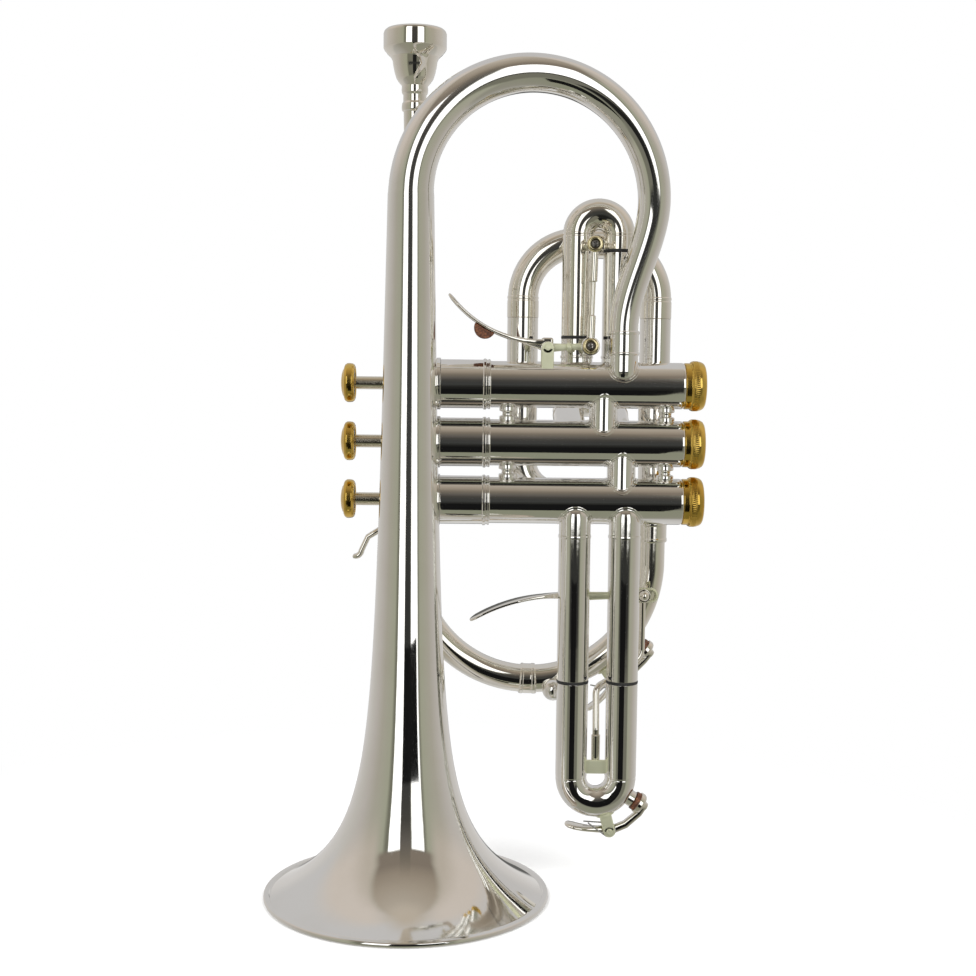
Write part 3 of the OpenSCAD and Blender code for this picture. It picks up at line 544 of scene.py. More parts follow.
def plated(name, colour, shade, rough=(0.03, 0.09), wave=0.25, scratch=0.12, metal=1.0):
    """Polished plate: soft uneven tone, thin wiped marks and a faint ripple."""
    m, n, place, shader, _ = surface(name)
    cloud = n.noise(place, 34.0, 4.0, 0.6)
    tone = n.mix(n.step(cloud, 0.35, 0.72), colour, shade)
    wiped = n.add("ShaderNodeMapping", {0: place, 3: (900.0, 900.0, 90.0)}).outputs[0]
    marks = n.noise(wiped, 1.0, 2.0, 0.7, 0.4)
    film = n.noise(place, 11.0, 3.0, 0.6, 0.6)
    base = n.step(film, 0.3, 0.75, rough[0], rough[1])
    streak = n.step(marks, 0.58, 0.8, 0.0, scratch)
    n.tree.links.new(tone, shader.inputs["Base Color"])
    shader.inputs["Metallic"].default_value = metal
    n.tree.links.new(n.math("ADD", base, n.math("MULTIPLY", streak, 0.35)), shader.inputs["Roughness"])
    ripple = n.noise(place, 120.0, 2.0, 0.5)
    fine = n.noise(place, 1400.0, 2.0, 0.6)
    height = n.math("ADD", ripple, n.math("MULTIPLY", fine, 0.06))
    bump = n.add("ShaderNodeBump", {"Height": height, "Strength": wave, "Distance": 0.00008})
    n.tree.links.new(bump.outputs[0], shader.inputs["Normal"])
    return m


def soft(name, colour, spots, scale, rough, bump, sheen=0.0):
    """Cork, felt, rubber and plastic: speckled tone, grain in roughness and height."""
    m, n, place, shader, _ = surface(name)
    cell = n.add("ShaderNodeTexVoronoi", {"Vector": place, "Scale": scale}).outputs["Distance"]
    grain = n.noise(place, scale * 2.2, 5.0, 0.65)
    mask = n.step(n.math("ADD", n.math("MULTIPLY", cell, 0.6), n.math("MULTIPLY", grain, 0.6)), 0.35, 0.75)
    n.tree.links.new(n.mix(mask, colour, spots), shader.inputs["Base Color"])
    n.tree.links.new(n.step(grain, 0.2, 0.8, rough - 0.12, rough + 0.1), shader.inputs["Roughness"])
    b = n.add("ShaderNodeBump", {"Height": grain, "Strength": bump, "Distance": 0.0002})
    n.tree.links.new(b.outputs[0], shader.inputs["Normal"])
    if sheen:
        shader.inputs["Sheen Weight"].default_value = sheen
    return m


SILVER = plated("silver_plate", (0.93, 0.92, 0.89), (0.90, 0.885, 0.845))
WARM = plated("silver_plate_warm", (0.93, 0.905, 0.84), (0.90, 0.865, 0.78))
GOLD = plated("gold_plate", (0.84, 0.57, 0.135), (0.66, 0.42, 0.08), (0.10, 0.22), 0.35)
STEM = plated("stem_plate", (0.80, 0.74, 0.60), (0.70, 0.63, 0.48), (0.14, 0.24), 0.3, 0.3)
SATIN = plated("silver_satin", (0.69, 0.70, 0.50), (0.60, 0.61, 0.43), (0.28, 0.42), 0.5, 0.3, 0.6)
PALE_GOLD = plated("gilt_ring", (0.93, 0.84, 0.55), (0.88, 0.77, 0.45), (0.06, 0.14))
NICKEL = plated("nickel", (0.66, 0.65, 0.62), (0.58, 0.57, 0.54), (0.16, 0.28), 0.2, 0.3)
STEEL = plated("spring_steel", (0.62, 0.63, 0.64), (0.48, 0.48, 0.5), (0.18, 0.32), 0.4, 0.3)
DARK_STEEL = plated("screw_steel", (0.24, 0.23, 0.21), (0.14, 0.13, 0.12), (0.22, 0.34), 0.4, 0.3)
CORK = soft("cork", (0.21, 0.075, 0.028), (0.075, 0.026, 0.012), 900.0, 0.5, 0.6)
FELT = soft("felt", (0.045, 0.045, 0.05), (0.02, 0.02, 0.022), 2500.0, 0.85, 0.9, 0.5)
RUBBER = soft("rubber", (0.012, 0.012, 0.012), (0.02, 0.02, 0.02), 1800.0, 0.5, 0.3)
NYLON = soft("nylon", (0.78, 0.76, 0.70), (0.70, 0.68, 0.62), 700.0, 0.4, 0.2)
SLOT_MATERIAL = {
    "silver_plate": SILVER, "gold_plate": GOLD, "nickel": NICKEL, "spring_steel": STEEL,
    "cork": CORK, "felt": FELT, "rubber": RUBBER, "nylon": NYLON,
}
SLOT_OF = {s["node"]: s["material_slot"] for s in frame["record"]["subparts"]}


# ---- Bell, stem and crook ----

def bell_outer(z):
    flare = FLARE_R * (1 + (z - RIM_LIFT) / FLARE_Z) ** -FLARE_POWER
    return STEM_TOP_R + STEM_TAPER * (CROOK_Z - z) + flare


def bell_inner(z):
    rise = (bell_outer(z + 0.01) - bell_outer(z - 0.01)) / 0.02
    return bell_outer(z) - BELL_WALL * math.sqrt(1 + rise * rise)


def smooth(u):
    return u * u * (3 - 2 * u)


ARC_LENGTH = math.pi * CROOK_R
SETTLE = 7
CROOK_LENGTH = ARC_LENGTH + CROOK_Z - TAIL_Z


def crook_point(s):
    if s < ARC_LENGTH:
        a = s / CROOK_R
        x, z = CROOK_R * (1 - math.cos(a)), CROOK_Z + CROOK_R * math.sin(a)
    else:
        f = smooth(min(1, (s - ARC_LENGTH) / (CROOK_Z - TAIL_Z - SETTLE)))
        x = 2 * CROOK_R + (TAIL.x - 2 * CROOK_R) * f
        z = CROOK_Z - (s - ARC_LENGTH)
    return Vector((x, TAIL.y * smooth(min(1, s / CROOK_LENGTH)), z))


def bell():
    steps = 150
    samples = [Vector((0, 0, 0)), Vector((0, 0, CROOK_Z))]
    samples += [crook_point(CROOK_LENGTH * i / steps) for i in range(1, steps + 1)]
    path = through(samples)
    path.tangents[0], path.tangents[1] = Z.copy(), Z.copy()
    outer, inner = [], []
    rows = 110
    for i in range(rows + 1):
        z = 2.2 + (CROOK_Z - 2.2) * (i / rows) ** 1.9
        outer.append((z, bell_outer(z)))
        inner.append((z, bell_inner(z)))
    narrowing = STEM_TOP_R - CROOK_END_R
    lengths = path.knots[2:]
    for s in lengths:
        share = (s - CROOK_Z) / (path.length - CROOK_Z)
        r = STEM_TOP_R - narrowing * share ** 0.8
        outer.append((s, r))
        inner.append((s, r - BELL_WALL))
    bead_r, bead_z = 1.3, 1.25
    bead_x = BELL_R - bead_r
    loop = outer + inner[::-1]
    curl = []
    for i in range(25):
        a = math.radians(-215 + 275 * i / 24)
        curl.append((bead_z + bead_r * math.sin(a), bead_x + bead_r * math.cos(a)))
    curl = [c for c in curl if c[0] < 2.35]
    seam_x = bell_outer(2.2) + 0.15
    curl += [(2.34, seam_x + 0.85), (2.02, seam_x + 0.5), (1.98, seam_x + 0.25), (2.16, seam_x)]
    turn(shape := Shape(), path, loop + curl, 160)
    return shape


BELL = piece("bell", bell(), SILVER, "root", "silver_plate", "bell_flare", "bell_stem", "bell_crook")


# ---- Tube stubs that land on casings ----

def landing(x, y, valve, r, casing_r=CASING_R, up=True, lift=0.0, count=72):
    """The line where a stub with a rounded end meets a casing. The round end is centred
    lift away from the valve's axis."""
    y0, z0 = valve.y, valve.z
    sign = 1 if up else -1

    def half(psi):
        dy = y0 - casing_r * math.cos(psi) - y
        rest = r * r - dy * dy
        if casing_r * math.sin(psi) < lift:
            rest -= (casing_r * math.sin(psi) - lift) ** 2
        return rest

    low, high = None, None
    for i in range(-900, 1800):
        psi = math.radians(i / 10)
        if half(psi) > 0:
            low = psi if low is None else low
            high = psi
        elif low is not None:
            break
    points = []
    for i in range(count):
        a = 2 * math.pi * i / count
        psi = (low + high) / 2 - (high - low) / 2 * math.cos(a)
        w = math.sqrt(max(0.0, half(psi))) * (1 if a < math.pi else -1)
        points.append(Vector((
            x + w, y0 - casing_r * math.cos(psi), z0 + sign * casing_r * math.sin(psi)
        )))
    return points


def stub(shape, x, y, valve, end_z, r, bore, open_to=None, lift=0.0, casing_r=CASING_R):
    """A tube standing on a casing, with a rounded end that wraps the casing, an open
    far end, and a solder line where they meet."""
    up = end_z > valve.z
    d = Z if up else -Z
    start = Vector((x, y, valve.z)) + d * lift
    length = abs(end_z - valve.z) - lift
    line = []
    for i in range(17):
        a = math.pi / 2 * i / 16
        line.append((-r * math.cos(a), r * math.sin(a)))
    line[0] = (-r, 0)
    deep = 12.0 if open_to is None else open_to
    line += rounded([(0, r), (length, r), (length, bore), (deep, bore), (deep, 0)], 0.2, closed=False)[1:]
    tube = turn(Shape(), straight(start, start + d), line, 64, closed=False)
    cutter = rod(Shape(), (x - 40, valve.y, valve.z), (x + 40, valve.y, valve.z), casing_r - 0.45, seg=96)
    join(shape, carve(tube, cutter))
    solder(shape, x, y, valve, r, casing_r, up, lift)
    return shape


def solder(shape, x, y, valve, r, casing_r=CASING_R, up=True, lift=0.0):
    """The edge of the saddle plate under a stub, and the solder line inside it."""
    bead(shape, landing(x, y, valve, r + 0.1, casing_r, up, lift), 0.36)
    bead(shape, landing(x, y, valve, r + 1.0, casing_r, up, lift), 0.24)


# ---- Valve block ----

def along_x(valve):
    return straight((0, valve.y, valve.z), (1, valve.y, valve.z))


def casing():
    u, c, t = UPPER_R, CASING_R, 9.3
    return rounded([
        (CASING_FROM, t + 0.6), (TOP_CAP_TO, t + 0.6), (TOP_CAP_TO + 0.05, u),
        (BEAD_FROM, u), (BEAD_FROM + 0.35, u + 0.5), (BEAD_FROM + 1.2, u + 0.5),
        (BEAD_FROM + 1.5, u + 0.05), (BEAD_TO - 1.0, u + 0.05), (BEAD_TO - 0.8, u + 0.3),
        (BEAD_TO - 0.2, u + 0.25), (BEAD_TO, c), (CAP_FROM - 1.4, c), (CAP_FROM - 0.6, c - 0.12),
        (CAP_FROM - 0.05, c - 0.42), (CAP_FROM, t + 0.1), (CAP_FROM + 0.05, t),
        (CASING_TO, t), (CASING_TO, CASING_BORE_R), (33, CASING_BORE_R), (33, 9.2),
        (CASING_FROM, 9.2),
    ], 0.16)


def top_cap():
    f, t = TOP_CAP_FROM, TOP_CAP_TO
    return rounded([
        (f, 3.0), (f, 8.2), (f + 0.7, 9.6), (f + 2.4, 10.6), (t - 4.2, 10.6), (t - 3.8, 11.1),
        (t - 3.0, 11.1), (t - 2.7, 10.7), (t - 1.9, 10.7), (t - 1.6, 11.1), (t - 0.05, 11.1),
        (t - 0.05, 9.93), (5.9, 9.93), (5.9, 8.6), (f + 3.5, 8.6), (f + 3.5, 3.0),
    ], 0.2)


def bottom_cap():
    f, t = CAP_FROM, CAP_TO
    return rounded([
        (t - 1.7, 0.9), (t - 1.7, 8.3), (t - 2.5, 8.9), (t - 3.2, 9.32), (f, 9.32), (f, 9.95),
        (f + 2.3, 9.95), (f + 2.7, 10.4), (f + 3.2, 10.7), (t - 2.9, 10.7), (t - 2.3, 10.62),
        (t - 1.3, 10.3), (t - 0.5, 9.75), (t, 8.9), (t, 3.4), (t - 0.4, 3.0), (t - 0.4, 0.9),
    ], 0.35)


def knurled_cap(shape, valve):
    """The cap, with fine ridges along the widest band of its rim."""
    f, t = CAP_FROM, CAP_TO
    low, high = f + 3.55, t - 3.2
    loop = [p for p in bottom_cap()]
    out = []
    for p, q in zip(loop, loop[1:] + loop[:1]):
        out.append(p)
        if p[1] > 10.6 and q[1] > 10.6 and q[0] > p[0] and q[0] - p[0] > 1:
            out += [(low - 0.1, 10.7), (low, 10.7), (high, 10.7), (high + 0.1, 10.7)]
    return turn(shape, along_x(valve), out, 320, wave=(80, 0.11, low - 0.01, high + 0.01))


def button(shape, valve):
    f, t = BUTTON_FROM, BUTTON_TO
    line = rounded([
        (f, 0), (f + 0.02, 2.0), (f + 0.25, 3.8), (f + 0.7, 5.4), (f + 1.2, 6.2), (f + 1.35, 7.0),
        (f + 1.75, 7.8), (f + 2.6, 8.35), (f + 3.6, 8.4), (t - 1.1, 8.25), (t - 0.4, 7.8),
        (t, 7.0), (t, 6.3), (t - 1.9, 6.1), (t - 1.9, 2.76), (t - 1.9, 0),
    ], 0.5, closed=False)
    return turn(shape, along_x(valve), line, 96, closed=False)


def valves():
    for k, valve in enumerate(AXES, 1):
        body, axis = f"valve_{k}", along_x(valve)
        piece(f"casing-{k}", turn(Shape(), axis, casing(), 96), SILVER, "root",
              "silver_plate", f"casing_{k}")
        piece(f"top-cap-{k}", turn(Shape(), axis, top_cap(), 96), SILVER, "root",
              "silver_plate", f"top_cap_{k}")
        piece(f"bottom-cap-{k}", knurled_cap(Shape(), valve), GOLD, "root",
              "gold_plate", f"bottom_cap_{k}", sharp=50)
        piece(f"button-{k}", button(Shape(), valve), GOLD, body, "gold_plate", f"button_{k}")
        stem = Shape()
        stem_from, stem_to = span(f"stem_{k}")[0].x, span(f"stem_{k}")[1].x
        bar(stem, straight((stem_from, valve.y, valve.z), (stem_to, valve.y, valve.z)), 2.75, seg=48)
        piece(f"stem-{k}", stem, STEM, body, "silver_plate", f"stem_{k}")


def knuckles():
    s = Shape()
    for k, x in ((0, 82.5), (1, 90.7)):
        top, low = AXES[k], AXES[k + 1]
        y = top.y - 2.2
        r = 6.1
        line = []
        for i in range(17):
            a = math.pi / 2 * i / 16
            line.append((-r * math.cos(a), r * math.sin(a)))
        line[0] = (-r, 0)
        gap = top.z - low.z
        line += [(gap - p[0], p[1]) for p in line[::-1]]
        tube = turn(Shape(), straight((x, y, low.z), (x, y, low.z + 1)), line, 64, closed=False)
        cutters = [
            rod(Shape(), (x - 30, v.y, v.z), (x + 30, v.y, v.z), CASING_R - 0.45, seg=96)
            for v in (top, low)
        ]
        join(s, carve(tube, *cutters))
        for v, up in ((top, False), (low, True)):
            solder(s, x, y, v, r, CASING_R, up)
    return s


def spool_braces():
    s = Shape()
    for k in (0, 1):
        top, low = AXES[k], AXES[k + 1]
        mid = (top.z + low.z) / 2
        for x in (41.4, 109.9):
            half = (top.z - low.z) / 2 - CASING_R + 0.5
            line = [(-half, 0), (-half, 3.7), (-1.25, 3.7), (-1.0, 3.3), (-0.8, 2.5), (0, 2.3),
                    (0.8, 2.5), (1.0, 3.3), (1.25, 3.7), (half, 3.7), (half, 0)]
            here = Vector((x, top.y, mid))
            turn(s, straight(here, here + Z), rounded(line, 0.4, closed=False), 48, closed=False)
    return s


def valve_springs():
    """Coils round the valves' axes. They ride on the valves."""
    for k, valve in enumerate(AXES, 1):
        low, high = span(f"spring_{k}")
        turns, coil_r, wire_r = 8, 5.2, 0.36
        start, length = low.x + wire_r, high.x - low.x - 2 * wire_r
        coil = []
        for i in range(turns * 24 + 1):
            a = 2 * math.pi * i / 24
            coil.append((start + length * i / (turns * 24), valve.y + coil_r * math.cos(a),
                         valve.z + coil_r * math.sin(a)))
        o = piece(f"spring-{k}", bar(Shape(), through(coil), wire_r, seg=8, rim=0.1), STEEL,
                  f"valve_{k}", "spring_steel", f"spring_{k}")
        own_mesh(o)


valves()
valve_springs()
piece("casing-knuckles", knuckles(), SILVER, "root", "silver_plate", "casing_knuckles")
piece("casing-braces", spool_braces(), SILVER, "root", "silver_plate", "casing_braces")


def tail_ferrule():
    s = stub(Shape(), TAIL.x, TAIL.y, AXES[0], TAIL_Z + 2, 6.5, CROOK_END_R + 0.02, open_to=7, lift=6.3)
    up = straight((TAIL.x, TAIL.y, 0), (TAIL.x, TAIL.y, 1))
    z = span("tail_ferrule")[1].z
    loop = [(z - 10.4, 6.3), (z - 10.4, 6.72), (z - 9.9, 6.85), (z - 9.4, 6.85), (z - 9.1, 6.62),
            (z - 1.5, 6.62), (z - 1.2, 6.85), (z - 0.3, 6.85), (z, 6.6), (z, 6.15)]
    turn(s, up, rounded(loop, 0.2), 64)
    return s


piece("tail-ferrule", tail_ferrule(), SILVER, "root", "silver_plate", "tail_ferrule")


# ---- Mouthpiece, receiver, leadpipe and big bow ----

LEAD = centre("mouthpiece")
MAIN_Y = LEAD.y
SHANK_END = span("mouthpiece")[0].z
MOUTH_TOP = span("mouthpiece")[1].z
BOW_X = (span("leadpipe")[0].x + 6.2 + span("main_outer_right")[1].x - OUTER_R) / 2
BOW_R = BOW_X - LEAD.x
BOW_BOTTOM = span("leadpipe_bow")[0].z + 6.2
BOW_Z = BOW_BOTTOM + BOW_R
RIGHT_X = BOW_X + BOW_R
BOW_CENTRE = Vector((BOW_X, MAIN_Y, BOW_Z))


def polar(c, r, degrees):
    a = math.radians(degrees)
    return Vector((c.x + r * math.cos(a), c.y, c.z + r * math.sin(a)))


def mouthpiece():
    e = SHANK_END
    spots = [
        (0, 4.3), (29, 4.88), (29.5, 5.6), (30.9, 5.75), (32.5, 5.6), (33.3, 5.1), (36.3, 5.1),
        (37.1, 5.7), (38.6, 5.85), (40.1, 5.7), (40.7, 6.1), (42, 7.2), (43.5, 8.2), (45.8, 8.9),
        (48.5, 9.5), (51.1, 9.9), (52.5, 10.6), (54.0, 12.2), (55.6, 13.5), (56.4, 13.9),
        (62.6, 13.9), (63.7, 13.5), (64.5, 12.6), (64.6, 11.4), (64.1, 10), (62.8, 9),
        (60.9, 8.2), (56.3, 7.6), (51.8, 6.4), (48.1, 4.6), (45.7, 2.6), (43.3, 1.85),
        (38.3, 1.85), (23.3, 2.6), (0, 3.7),
    ]
    loop = rounded([(e + h, r) for h, r in spots], 0.5, bits=4)
    return turn(Shape(), straight((LEAD.x, LEAD.y, 0), (LEAD.x, LEAD.y, 1)), loop, 128)


def receiver():
    low, high = span("mouthpiece_receiver")[0].z, span("mouthpiece_receiver")[1].z
    e = SHANK_END
    d = high - e
    low = e - 18.7
    loop = rounded([
        (low, 6.2), (low, 6.9), (low + 1, 7.2), (low + 2.4, 6.7), (high - 5, 6.7),
        (high - 4.4, 7.3), (high - 2.6, 7.5), (high - 0.6, 7.3), (high, 6.8),
        (high, 4.33 + 0.02 * d), (e - 6, 4.21), (e - 6, 6.2),
    ], 0.3)
    return turn(Shape(), straight((LEAD.x, LEAD.y, 0), (LEAD.x, LEAD.y, 1)), loop, 96)


def big_loop():
    """The centre line down the leadpipe, round the big bow and up to the main slide."""
    return bent(
        [(LEAD.x, MAIN_Y, SHANK_END - 6), (LEAD.x, MAIN_Y, BOW_BOTTOM),
         (RIGHT_X, MAIN_Y, BOW_BOTTOM), (RIGHT_X, MAIN_Y, 152)],
        [BOW_R, BOW_R], step=2.0)


LOOP = big_loop()
LOOP_STRAIGHT = SHANK_END - 6 - BOW_Z
LOOP_JOINT = LOOP_STRAIGHT + math.radians(272 - 180) * BOW_R

piece("mouthpiece-cup", mouthpiece(), WARM, "mouthpiece", "silver_plate", "mouthpiece")
piece("mouthpiece-receiver", receiver(), WARM, "root", "silver_plate", "mouthpiece_receiver")
piece("lead-pipe", pipe(Shape(), LOOP, 6.2, 5.6, 0, LOOP_JOINT), WARM, "root", "silver_plate", "leadpipe")
piece("lead-bow", pipe(Shape(), LOOP, 6.22, 5.6, LOOP_JOINT, LOOP.length), WARM, "root",
      "silver_plate", "leadpipe_bow")


# ---- Water keys ----

def saddle(shape, c, angle, pivot_r, base_r):
    """Two cheeks and a pin that carry a water key."""
    out = polar(c, 1, angle) - c
    pin = polar(c, pivot_r, angle)
    q = Quaternion(Y, -math.radians(angle))
    for side in (-1, 1):
        y = c.y + side * 3.3
        low = Vector((c.x + base_r, y - 0.6, c.z - 2.6))
        high = Vector((c.x + pivot_r, y + 0.6, c.z + 2.6))
        block(shape, low, high, 0.45, q, Vector(c))
        rod(shape, (pin.x, y - 0.6, pin.z), (pin.x, y + 0.6, pin.z), 2.6, rim=0.45)
        head = y + side * 0.6
        rod(shape, (pin.x, head - side * 0.2, pin.z), (pin.x, head + side * 0.5, pin.z), 1.35, rim=0.3)
    base = polar(c, base_r - 0.2, angle)
    rod(shape, base, base + out * 1.2, 4.3, rim=0.5, seg=48)
    return shape


def nipple(shape, c, angle, from_r, to_r, r=3.4):
    line = straight(c, polar(c, 1, angle))
    loop = rounded([(from_r, 1.4), (from_r, r + 0.5), (from_r + 0.9, r + 0.1), (to_r - 0.4, r), (to_r, r - 0.5),
                    (to_r, 1.4)], 0.2)
    turn(shape, line, loop, 48)


def water_key(c, pivot, nipple_to, nipple_a, arm_r, tip, plate_w, cup_r):
    s = Shape()
    rod(s, (pivot.x, c.y - 2.55, pivot.z), (pivot.x, c.y + 2.55, pivot.z), 2.0, rim=0.3)
    pivot_a = math.degrees(math.atan2(pivot.z - c.z, pivot.x - c.x))
    arm = [polar(c, arm_r, pivot_a + (nipple_a - pivot_a) * i / 24) for i in range(25)]
    path = through(arm, side=Y)
    loft(s, path, [(0, 1.8, 1.8), (path.length * 0.4, 1.8, 1.75), (path.length * 0.8, 1.9, 1.6),
                   (path.length, 2.0, 1.4)], 2.6)
    line = straight(c, polar(c, 1, nipple_a))
    f = nipple_to + 1.9
    cup = [(f + 1.2, 0)] + rounded([
        (f + 1.2, cup_r - 0.5), (f, cup_r - 0.5), (f, cup_r), (f + 1.6, cup_r), (f + 2.5, cup_r - 0.5),
        (f + 3.0, cup_r - 1.6), (f + 3.3, 2.2), (arm_r + 1.2, 1.7), (arm_r + 1.5, 0.9)],
        0.3, closed=False) + [(arm_r + 1.6, 0)]
    turn(s, line, cup, 48, closed=False)
    down = (tip - pivot)
    length = down.length
    d = down.normalized()
    bend_out = Vector((d.z, 0, -d.x))
    plate = []
    for i in range(21):
        f = i / 20
        plate.append(pivot + d * (length * f) + bend_out * (0.9 * math.sin(f * math.pi)) * -1)
    path = through(plate, side=Y)
    n = path.length
    loft(s, path, [(0.5, 1.6, 1.6), (n * 0.25, 1.9, 1.45), (n * 0.45, plate_w / 2, 1.3),
                   (n * 0.6, plate_w / 2 + 1.0, 1.2), (n * 0.8, plate_w / 2 + 1.6, 1.15),
                   (n * 0.93, plate_w / 2 + 0.9, 1.1), (n * 0.985, plate_w / 2 - 0.8, 0.8),
                   (n, 0.6, 0.35)], 2.4)
    return s


def key_cork(c, nipple_to, nipple_a, cup_r):
    line = straight(c, polar(c, 1, nipple_a))
    low, high = nipple_to + 0.03, nipple_to + 3.08
    loop = rounded([(low, 0), (low, cup_r - 0.55), (high, cup_r - 0.55), (high, 0)], 0.3, closed=False)
    return turn(Shape(), line, loop, 48, closed=False)


def key_spring(c, pin, tube_a, tube_r, tip):
    """A coil on the key's pin with one leg to the tube and one leg to the plate. It is
    drawn on the key's body, whose swing is small."""
    foot = polar(c, tube_r + 2.3, tube_a)
    hold = pin.lerp(tip, 0.55) + (polar(c, 1, math.degrees(math.atan2(pin.z - c.z, pin.x - c.x))) - c) * -1.5
    turns, coil_r, half = 3, 2.75, 2.2
    base = math.atan2(foot.z - pin.z, foot.x - pin.x)
    points = [Vector((foot.x, c.y - half, foot.z))]
    steps = turns * 20 + 10
    for i in range(steps + 1):
        a = base + 1.2 + 2 * math.pi * i / 20
        points.append(Vector((pin.x + coil_r * math.cos(a), c.y - half + 2 * half * i / steps,
                              pin.z + coil_r * math.sin(a))))
    points.append(Vector((hold.x, c.y + half, hold.z)))
    return bar(Shape(), through(points), 0.32, seg=10, rim=0.1)


BOW_PIN = JOINT_AT["bow_water_key_turn"]
BOW_NIPPLE_A, BOW_NIPPLE_TO = -37.6, 63.4
BOW_PIN_A = math.degrees(math.atan2(BOW_PIN.z - BOW_Z, BOW_PIN.x - BOW_X))
BOW_PIN_R = (Vector((BOW_PIN.x, 0, BOW_PIN.z)) - Vector((BOW_X, 0, BOW_Z))).length


def bow_fittings():
    s = Shape()
    a = LOOP_JOINT
    loop = rounded([(a - 6.6, 6.2), (a - 6.6, 6.6), (a - 6.0, 6.9), (a - 5.2, 6.9), (a - 4.9, 6.7),
                    (a - 1.2, 6.7), (a - 0.9, 6.9), (a, 6.9), (a + 0.8, 6.6), (a + 0.8, 6.2)], 0.2)
    turn(s, LOOP, loop, 64)
    up = straight((RIGHT_X, MAIN_Y, 0), (RIGHT_X, MAIN_Y, 1))
    loop = rounded([(146, 6.23), (146, 6.8), (146.6, 7.1), (147.6, 7.1), (148, 6.9), (153.4, 6.9),
                    (153.8, 7.1), (154.6, 7.1), (155, 6.7), (155, 6.0), (152.1, 6.0), (152.1, 6.23)], 0.2)
    turn(s, up, loop, 64)
    nipple(s, BOW_CENTRE, BOW_NIPPLE_A, BOW_R + 4.2, BOW_NIPPLE_TO, 3.2)
    return s


piece("bow-fittings", bow_fittings(), WARM, "root", "silver_plate", "bow_fittings")
piece("bow-key-saddle", saddle(Shape(), BOW_CENTRE, BOW_PIN_A, BOW_PIN_R, BOW_R + 5.3), SATIN,
      "root", "silver_plate")
BOW_KEY_TIP = BOW_CENTRE + Vector((26, 0, -68.3))
piece("bow-water-key", water_key(BOW_CENTRE, BOW_PIN, BOW_NIPPLE_TO, BOW_NIPPLE_A, BOW_PIN_R + 0.9,
                                 BOW_KEY_TIP, 5, 4.65),
      WARM, "bow_water_key", "silver_plate", "bow_water_key")
piece("bow-key-spring", key_spring(BOW_CENTRE, BOW_PIN, BOW_PIN_A - 9, BOW_R + 6.4, BOW_KEY_TIP),
      STEEL, "bow_water_key", "spring_steel")
piece("bow-key-cork", key_cork(BOW_CENTRE, BOW_NIPPLE_TO, BOW_NIPPLE_A, 4.65), CORK,
      "bow_water_key", "cork", "bow_key_cork")


# ---- Hook and braces ----

def pinky_hook():
    s = Shape()
    low, high = span("pinky_hook")
    z = high.z - 1.5
    x0 = LEAD.x - 5.9
    points = [(x0, MAIN_Y, z), (-11.5, MAIN_Y, z)]
    hub = Vector((-11.5, MAIN_Y, z - 12))
    for i in range(1, 31):
        points.append(polar(hub, 12, 90 + 82 * i / 30))
    hub = polar(hub, 15, 172)
    for i in range(1, 17):
        points.append(polar(hub, 3, 352 - 102 * i / 16))
    path = through(points, side=Y)
    n = path.length
    loft(s, path, [(0, 1.5, 1.4), (n * 0.3, 1.5, 1.4), (n * 0.55, 2.1, 1.3), (n * 0.8, 2.4, 1.3),
                   (n * 0.93, 2.2, 1.3), (n * 0.985, 1.5, 1.0), (n, 0.5, 0.4)], 2.6)
    face = straight((x0 + 0.4, MAIN_Y, z), (x0 - 1.1, MAIN_Y, z))
    bar(s, face, 3.2, rim=0.6)
    return s


def brace(shape, a, b, r=2.1, flange=3.4, knob=True):
    """A strut with a small flange at each end and a bead in the middle."""
    a, b = Vector(a), Vector(b)
    n = (b - a).length
    line = [(0, 0), (0, flange), (0.8, flange), (1.7, r)]
    if knob:
        line += [(n / 2 - 1.2, r), (n / 2 - 0.8, r + 0.6), (n / 2, r + 0.85), (n / 2 + 0.8, r + 0.6),
                 (n / 2 + 1.2, r)]
    line += [(n - 1.7, r), (n - 0.8, flange), (n, flange), (n, 0)]
    turn(shape, straight(a, b), rounded(line, 0.4, closed=False), 40, closed=False)


def body_braces():
    s = Shape()
    v1, v3 = AXES[0], AXES[2]
    left, right = 48.2, RIGHT_X
    r_top = bell_outer(268)
    brace(s, (0, r_top - 0.3, 268), (LEAD.x, MAIN_Y - 5.9, 268))
    brace(s, (LEAD.x + 5.9, MAIN_Y, 212), (left - OUTER_R + 0.3, MAIN_Y, 212))
    for x in (left, right):
        brace(s, (x, v1.y + CASING_R - 0.3, v1.z), (x, MAIN_Y - OUTER_R + 0.3, v1.z))
    brace(s, (21.9, v3.y + 9.6, v3.z), (LEAD.x + 4, MAIN_Y - 4.2, v3.z), knob=False)
    knob_at = Vector((63.7, 43.2, 79.3))
    rod(s, knob_at, (63.7, MAIN_Y - 4.8, 82.9), 2.1)
    ball(s, knob_at, 4.85)
    return s


piece("pinky-hook", pinky_hook(), WARM, "root", "silver_plate", "pinky_hook")
piece("body-braces", body_braces(), SILVER, "root", "silver_plate", "body_braces")


# ---- Main tuning slide ----

LEFT_X = span("main_outer_left")[0].x + OUTER_R
JOINT_Z = span("main_outer_left")[1].z
ENTRY_R = MAIN_Y - AXES[2].y - CASING_R
TURN_R = 16.0
ENTRY_X = LEFT_X + TURN_R + ENTRY_R
CORNER_R = 24.5
MAIN_TOP = span("main_slide")[1].z - OUTER_R + 0.1


